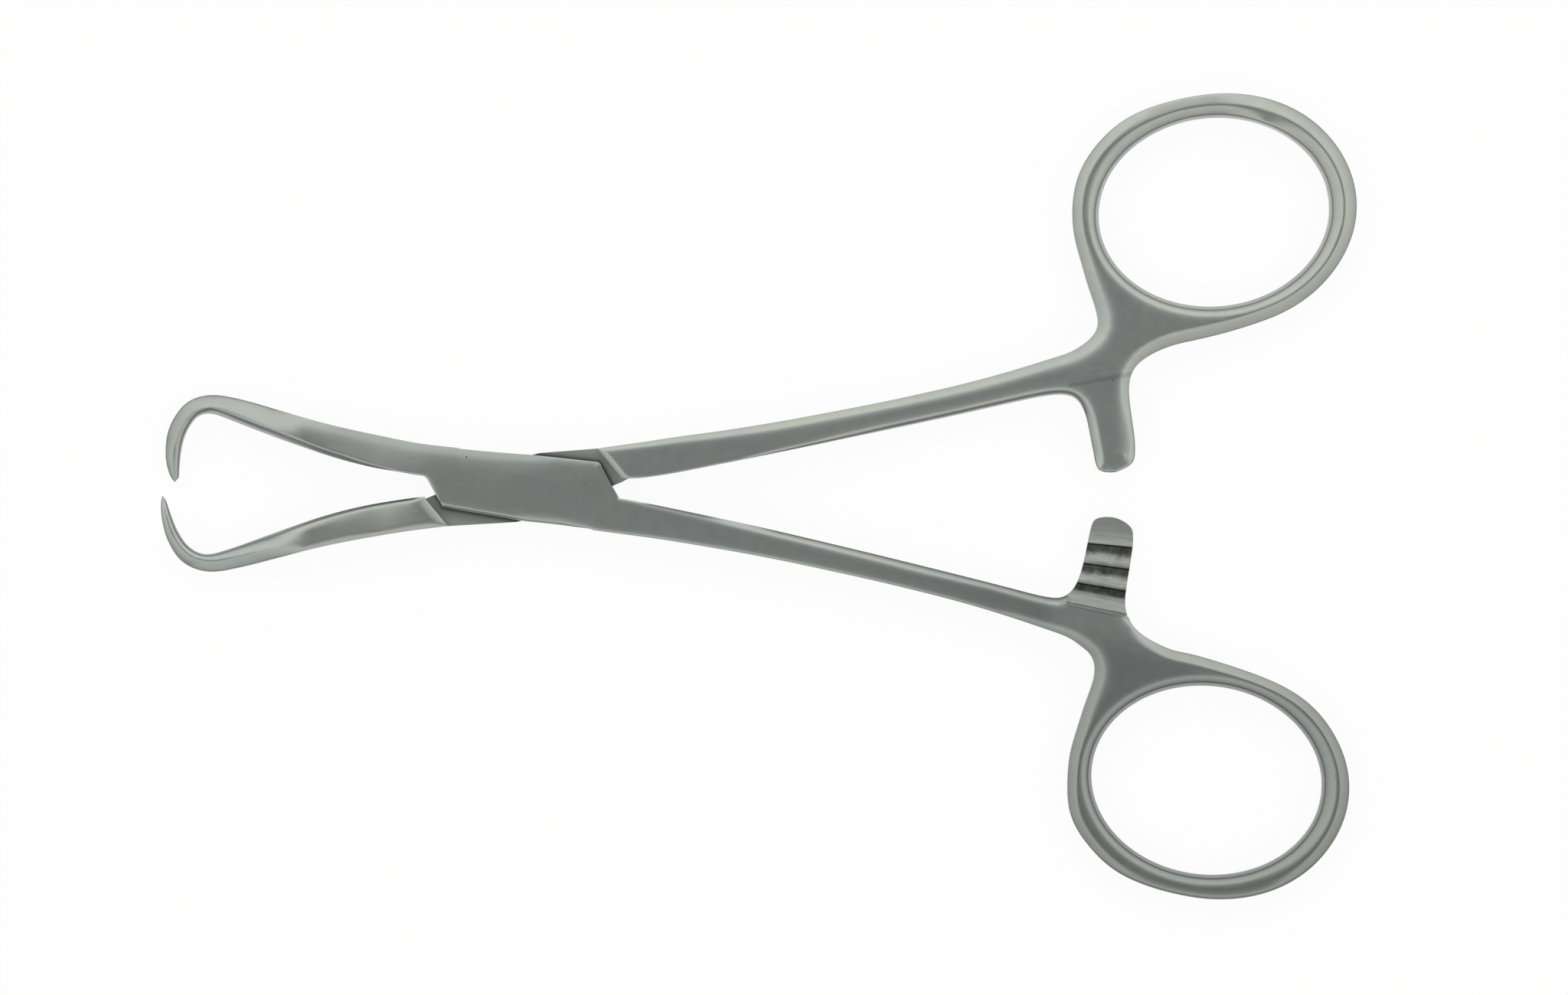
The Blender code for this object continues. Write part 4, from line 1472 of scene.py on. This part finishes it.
    def cheek_front(self) -> list[list[Row]]:
        """The cheek's step, its waist and its front edge, up to the sloping end."""
        step = self.low.scaled(0.8)
        return [
            [(7.9, 4.62, step), (7.45, 4.46, step)],
            [(7.45, 4.46, step), (4.0, 4.08, self.waist), (0.47, 3.76, self.waist)],
            [(0.47, 3.76, self.waist), (-1.5, 3.44, self.front), (-4.2, 3.02),
             (-8.68, 2.30, self.front)],
        ]

    def cheek_end(self) -> list[Row]:
        """The cheek's sloping end on the hook's side, up to the jaw."""
        return [(-8.68, 2.30, self.end), (-9.7, 0.62), (-10.28, -0.42), (-10.55, -0.86),
                (-10.85, -1.08), (-11.3, -1.16, BROKEN)]

    def jaw_inside(self) -> list[Row]:
        """Along the inside of the jaw and of the hook to its tip."""
        return [
            (-11.3, -1.16, BROKEN), (-12.0, -1.26), (-14.0, -1.58, BROKEN),
            (-16.0, -1.89, self.under.scaled(0.5)), (-18.0, -2.30),
            (-20.0, -2.80, self.under.scaled(0.95)), (-22.0, -3.38), (-24.0, -4.03, self.under),
            (-26.0, -4.70), (-28.0, -5.41, self.under_wide), (-30.0, -6.14),
            (-32.0, -6.89, self.under_wide), (-33.0, -7.26), (-34.0, -7.58, self.under_wide),
            (-35.0, -7.66), (-36.0, -7.27, self.hook_in.scaled(1.2)), (-36.5, -6.74),
            (-37.0, -5.95, self.hook_in), (-37.5, -4.72), (-37.78, -3.3, self.hook_in.scaled(0.9)),
            (-37.9, -2.0), (-37.96, -0.62, self.hook_in.scaled(0.6)),
        ]

    def jaw_outside(self) -> list[Row]:
        """From the tip round the outside of the hook and back along the jaw."""
        return [
            (-38.41, -0.08, BROKEN), (-38.72, -0.42, self.hook_out.scaled(0.3)),
            (-39.18, -1.45, self.hook_out.scaled(0.5)), (-39.42, -2.6),
            (-39.46, -3.8, self.hook_out.scaled(0.7)), (-39.3, -5.3), (-38.9, -6.5, self.hook_out),
            (-38.4, -7.42), (-37.6, -8.45), (-36.6, -9.2, self.hook_out.scaled(1.15)),
            (-35.4, -9.62), (-34.0, -9.75, self.hook_out.scaled(1.25)), (-32.6, -9.58),
            (-31.0, -9.24, self.jaw_roof.scaled(0.85)), (-29.0, -8.73),
            (-28.0, -8.44, self.jaw_roof), (-26.0, -7.88), (-24.0, -7.32, self.jaw_mid),
            (-22.0, -6.80), (-20.0, -6.34, self.jaw_crown.scaled(0.9)), (-18.0, -5.92),
            (-16.0, -5.53, self.jaw_crown), (-14.0, -5.14), (-12.0, -4.78),
            (-10.0, -4.52, self.crown), (-7.35, -4.27, self.crown),
        ]

    def cheek_back(self) -> list[list[Row]]:
        """The notch behind the jaw, the cheek's edge beside it and the far edge."""
        low_crown = self.crown.scaled(0.85)
        return [
            [(-7.35, -4.27, self.crown), (-7.0, -4.16, self.crown)],
            [(-7.0, -4.16, self.crown), (-3.4, -3.86, self.crown), (0.67, -3.61, low_crown)],
            [(0.67, -3.61, low_crown), (2.5, -3.44), (3.5, -3.35, self.far),
             (6.5, -3.06, self.far.scaled(0.8)), (8.0, -2.92, self.far.scaled(0.55)),
             (8.35, -2.84), (8.55, -2.62, self.far.scaled(0.3))],
        ]

    def whole(self) -> Outline:
        """Outside of cheeks, shank, ratchet arm, ring, jaw and hook."""
        tip = [(-37.96, -0.62, BROKEN), (-38.41, -0.08, BROKEN)]
        close = [(8.55, -2.62, self.end), (9.48, -0.90), (10.62, 1.10, self.end)]
        return Outline([[self.shank_inside()], [self.ring_side(), *self.cheek_front()],
                        [self.cheek_end(), self.jaw_inside()],
                        [tip, self.jaw_outside(), *self.cheek_back()], [close]])

    def build(self) -> bpy.types.Object:
        """Make the half's mesh.

        Returns:
            The half.
        """
        ring = Ring().opening({0: RIDGED, 60: LIP, 120: LIP, 180: LIP, 220: LIP, 290: LIP,
                               360: RIDGED})
        slot = TONGUE_HALF + SLOT_GAP
        item = self.shell(self.name, [self.whole(), ring])
        combine(item, Ratchet().cutter(), Cut.REMOVE)
        mirrored(item, (0.0, 0.0, 0.0), (1.0, -1.0, 1.0))
        combine(item, prism("slot", swept_slot(), MIDDLE - slot, MIDDLE + slot), Cut.REMOVE)
        drill(item, Pin.radius + BORE_GAPS[0])
        self.finish_mesh(item)
        return item

    def dress(self, item: bpy.types.Object) -> None:
        """Give the half its steel.

        Args:
            item: The half.
        """
        specks = ((-6.2, 3.24, 0.14), (6.49, 0.69, 0.13), (6.82, 0.37, 0.13))
        # Painted shade: this half keeps less of its colour from the shank on to its ring
        SatinSteel("satin_steel_outer", DULLER_STEEL, grain_angle=-4.0,
                   ring_centre=(75.75, -31.3), specks=specks, ring_shade=0.76,
                   side=-1.0).put_on(item)


@dataclass
class Pin:
    """Rivet pin, ground flush with both cheeks."""

    radius: float = 1.5
    name: str = "flush_pin"

    def build(self) -> bpy.types.Object:
        """Turn the pin from its profile, which is one straight side.

        Returns:
            The pin.
        """
        profile = np.array([(self.radius, 0.0), (self.radius, 2 * MIDDLE)])
        item = lathe(self.name, profile, 128)
        smooth(item)
        return item

    def dress(self, item: bpy.types.Object) -> None:
        """Same steel as the cheeks, ground in one go with them."""
        SatinSteel("ground_steel_pin", DULLER_STEEL, grain_angle=-4.0,
                   ring_centre=(75.75, -31.3)).put_on(item)


# Studio

@dataclass
class Studio:
    """White table under a light tent, and the camera straight above it.

    Attributes:
        width: Width of the view on the lock's mid-plane, millimetres.
        aim: Plan point in the middle of the view.
        turn: Turn of the picture, degrees.
        sensor: Width of the camera's sensor.
        lens: Focal length.
        table: Half the width of the table, and its height just below the lock's underside.
        white: Share of the table's white that doesn't depend on the light.
        level: Strength of the tent.
        brighter: How much brighter the tent is towards +Y than in the middle.
        lift: How much lower the tent's ramp is read towards -X.
        sky: Ramp over the direction's height: position, brightness, and share of the light
            from above in its colour.
        side_light: Colour of the light from the sides.
        top_light: Colour of the light from above.
    """

    width: float = 172.83
    aim: tuple = (28.79, -0.75)
    turn: float = 0.741
    sensor: float = 36.0
    lens: float = 250.0
    table: tuple = (6000.0, -0.02)
    white: float = 0.94
    level: float = 1.4
    brighter: float = 0.22
    lift: float = 0.18
    sky: tuple = (
        (0.0, 0.36, 0), (0.14, 0.36, 0), (0.25, 0.50, 0), (0.36, 0.82, 0), (0.48, 0.95, 0),
        (0.66, 1.00, 0), (0.81, 1.06, 0), (0.88, 0.96, 0), (0.93, 0.72, 0.3),
        (0.96, 0.50, 0.6), (0.985, 0.37, 1), (1.0, 0.32, 1),
    )
    side_light: tuple = (0.985, 1.02, 0.94)
    top_light: tuple = (0.96, 1.0, 0.985)

    def camera(self) -> None:
        """Camera at the photograph's view."""
        data = bpy.data.cameras.new("camera")
        data.lens, data.sensor_width = self.lens, self.sensor
        data.clip_end = 20.0                          # metres
        item = bpy.data.objects.new("camera", data)
        distance = self.lens / self.sensor * self.width
        item.location = (self.aim[0] * MM, self.aim[1] * MM, (MIDDLE + distance) * MM)
        item.rotation_euler = (0.0, 0.0, math.radians(self.turn))
        bpy.context.scene.collection.objects.link(item)
        bpy.context.scene.camera = item

    def floor(self) -> None:
        """White table top; a camera or a mirror sees it almost evenly white."""
        size, height = self.table
        corners = np.array([(x * size, y * size, height)
                            for x, y in ((-1, -1), (1, -1), (1, 1), (-1, 1))])
        item = new_object("table_top", corners, [[0, 1, 2, 3]])
        material = bpy.data.materials.new("white_table")
        tree = Tree(material)
        camera = tree.node("ShaderNodeLightPath", None, None, "Is Camera Ray")
        glossy = tree.node("ShaderNodeLightPath", None, None, "Is Glossy Ray")
        seen = camera.call("MAXIMUM", glossy) * self.white
        paper = tree.node("ShaderNodeBsdfDiffuse", None, {"Color": (0.97, 0.97, 0.97, 1.0)})
        white = tree.node("ShaderNodeEmission", None, {"Color": WHITE, "Strength": 1.0})
        mixed = tree.node("ShaderNodeMixShader", None, {0: seen, 1: paper, 2: white})
        tree.node("ShaderNodeOutputMaterial", None, {"Surface": mixed})
        item.data.materials.append(material)

    def tent(self) -> None:
        """World as a light tent: white round the sides, dimmer overhead about the camera.

        The brightness is a ramp over the direction's height, a little brighter from +Y. On
        the -X side the white comes further up, so the ramp is read lower there.
        """
        world = bpy.data.worlds.new("tent")
        bpy.context.scene.world = world
        tree = Tree(world)
        direction = tree.node("ShaderNodeTexCoord", None, None, "Generated")
        x, y, z = tree.split(direction)
        stops = []
        for at, level, over in self.sky:
            tone = [low + (high - low) * over
                    for low, high in zip(self.side_light, self.top_light)]
            stops.append((at, (*(level / self.level * part for part in tone), 1.0)))
        height = z + x.call("MINIMUM", 0.0) * z * z * self.lift
        ramp = tree.node("ShaderNodeValToRGB", {"stops": stops}, {0: height})
        side = 1.0 + y * self.brighter
        light = tree.vector("MULTIPLY", ramp, tree.join(side, side, side))
        tent = tree.node("ShaderNodeBackground", None, {"Color": light, "Strength": self.level})
        white = tree.node("ShaderNodeBackground", None, {"Color": WHITE, "Strength": 1.0})
        camera = tree.node("ShaderNodeLightPath", None, None, "Is Camera Ray")
        mixed = tree.node("ShaderNodeMixShader", None, {0: camera, 1: tent, 2: white})
        tree.node("ShaderNodeOutputWorld", None, {"Surface": mixed})

    def build(self) -> None:
        """Make the camera, the table and the light."""
        self.camera()
        self.floor()
        self.tent()
        bpy.context.scene.view_settings.view_transform = "Standard"


def report(item: bpy.types.Object) -> None:
    """Log a piece's name, faces and box.

    Args:
        item: The piece.
    """
    box = np.array(item.bound_box) / MM
    LOG.info("%s: %d faces, %s to %s mm", item.name, len(item.data.polygons),
             np.round(box.min(axis=0), 2).tolist(), np.round(box.max(axis=0), 2).tolist())


def main() -> None:
    """Build the studio and the clamp, and tie each piece to its body."""
    logging.basicConfig(level=logging.INFO, format="%(name)s %(message)s")
    Studio().build()
    for maker, node, body, slot in (
            (OuterHalf(), "female_half", "slot_half", "satin_steel"),
            (InnerHalf(), "male_half", "tongue_half", "satin_steel"),
            (Pin(), "lock_pin", "slot_half", "ground_pin")):
        item = maker.build()
        maker.dress(item)
        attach(item, body)
        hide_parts(node)
        report(item)


if __name__ == "__main__":
    main()
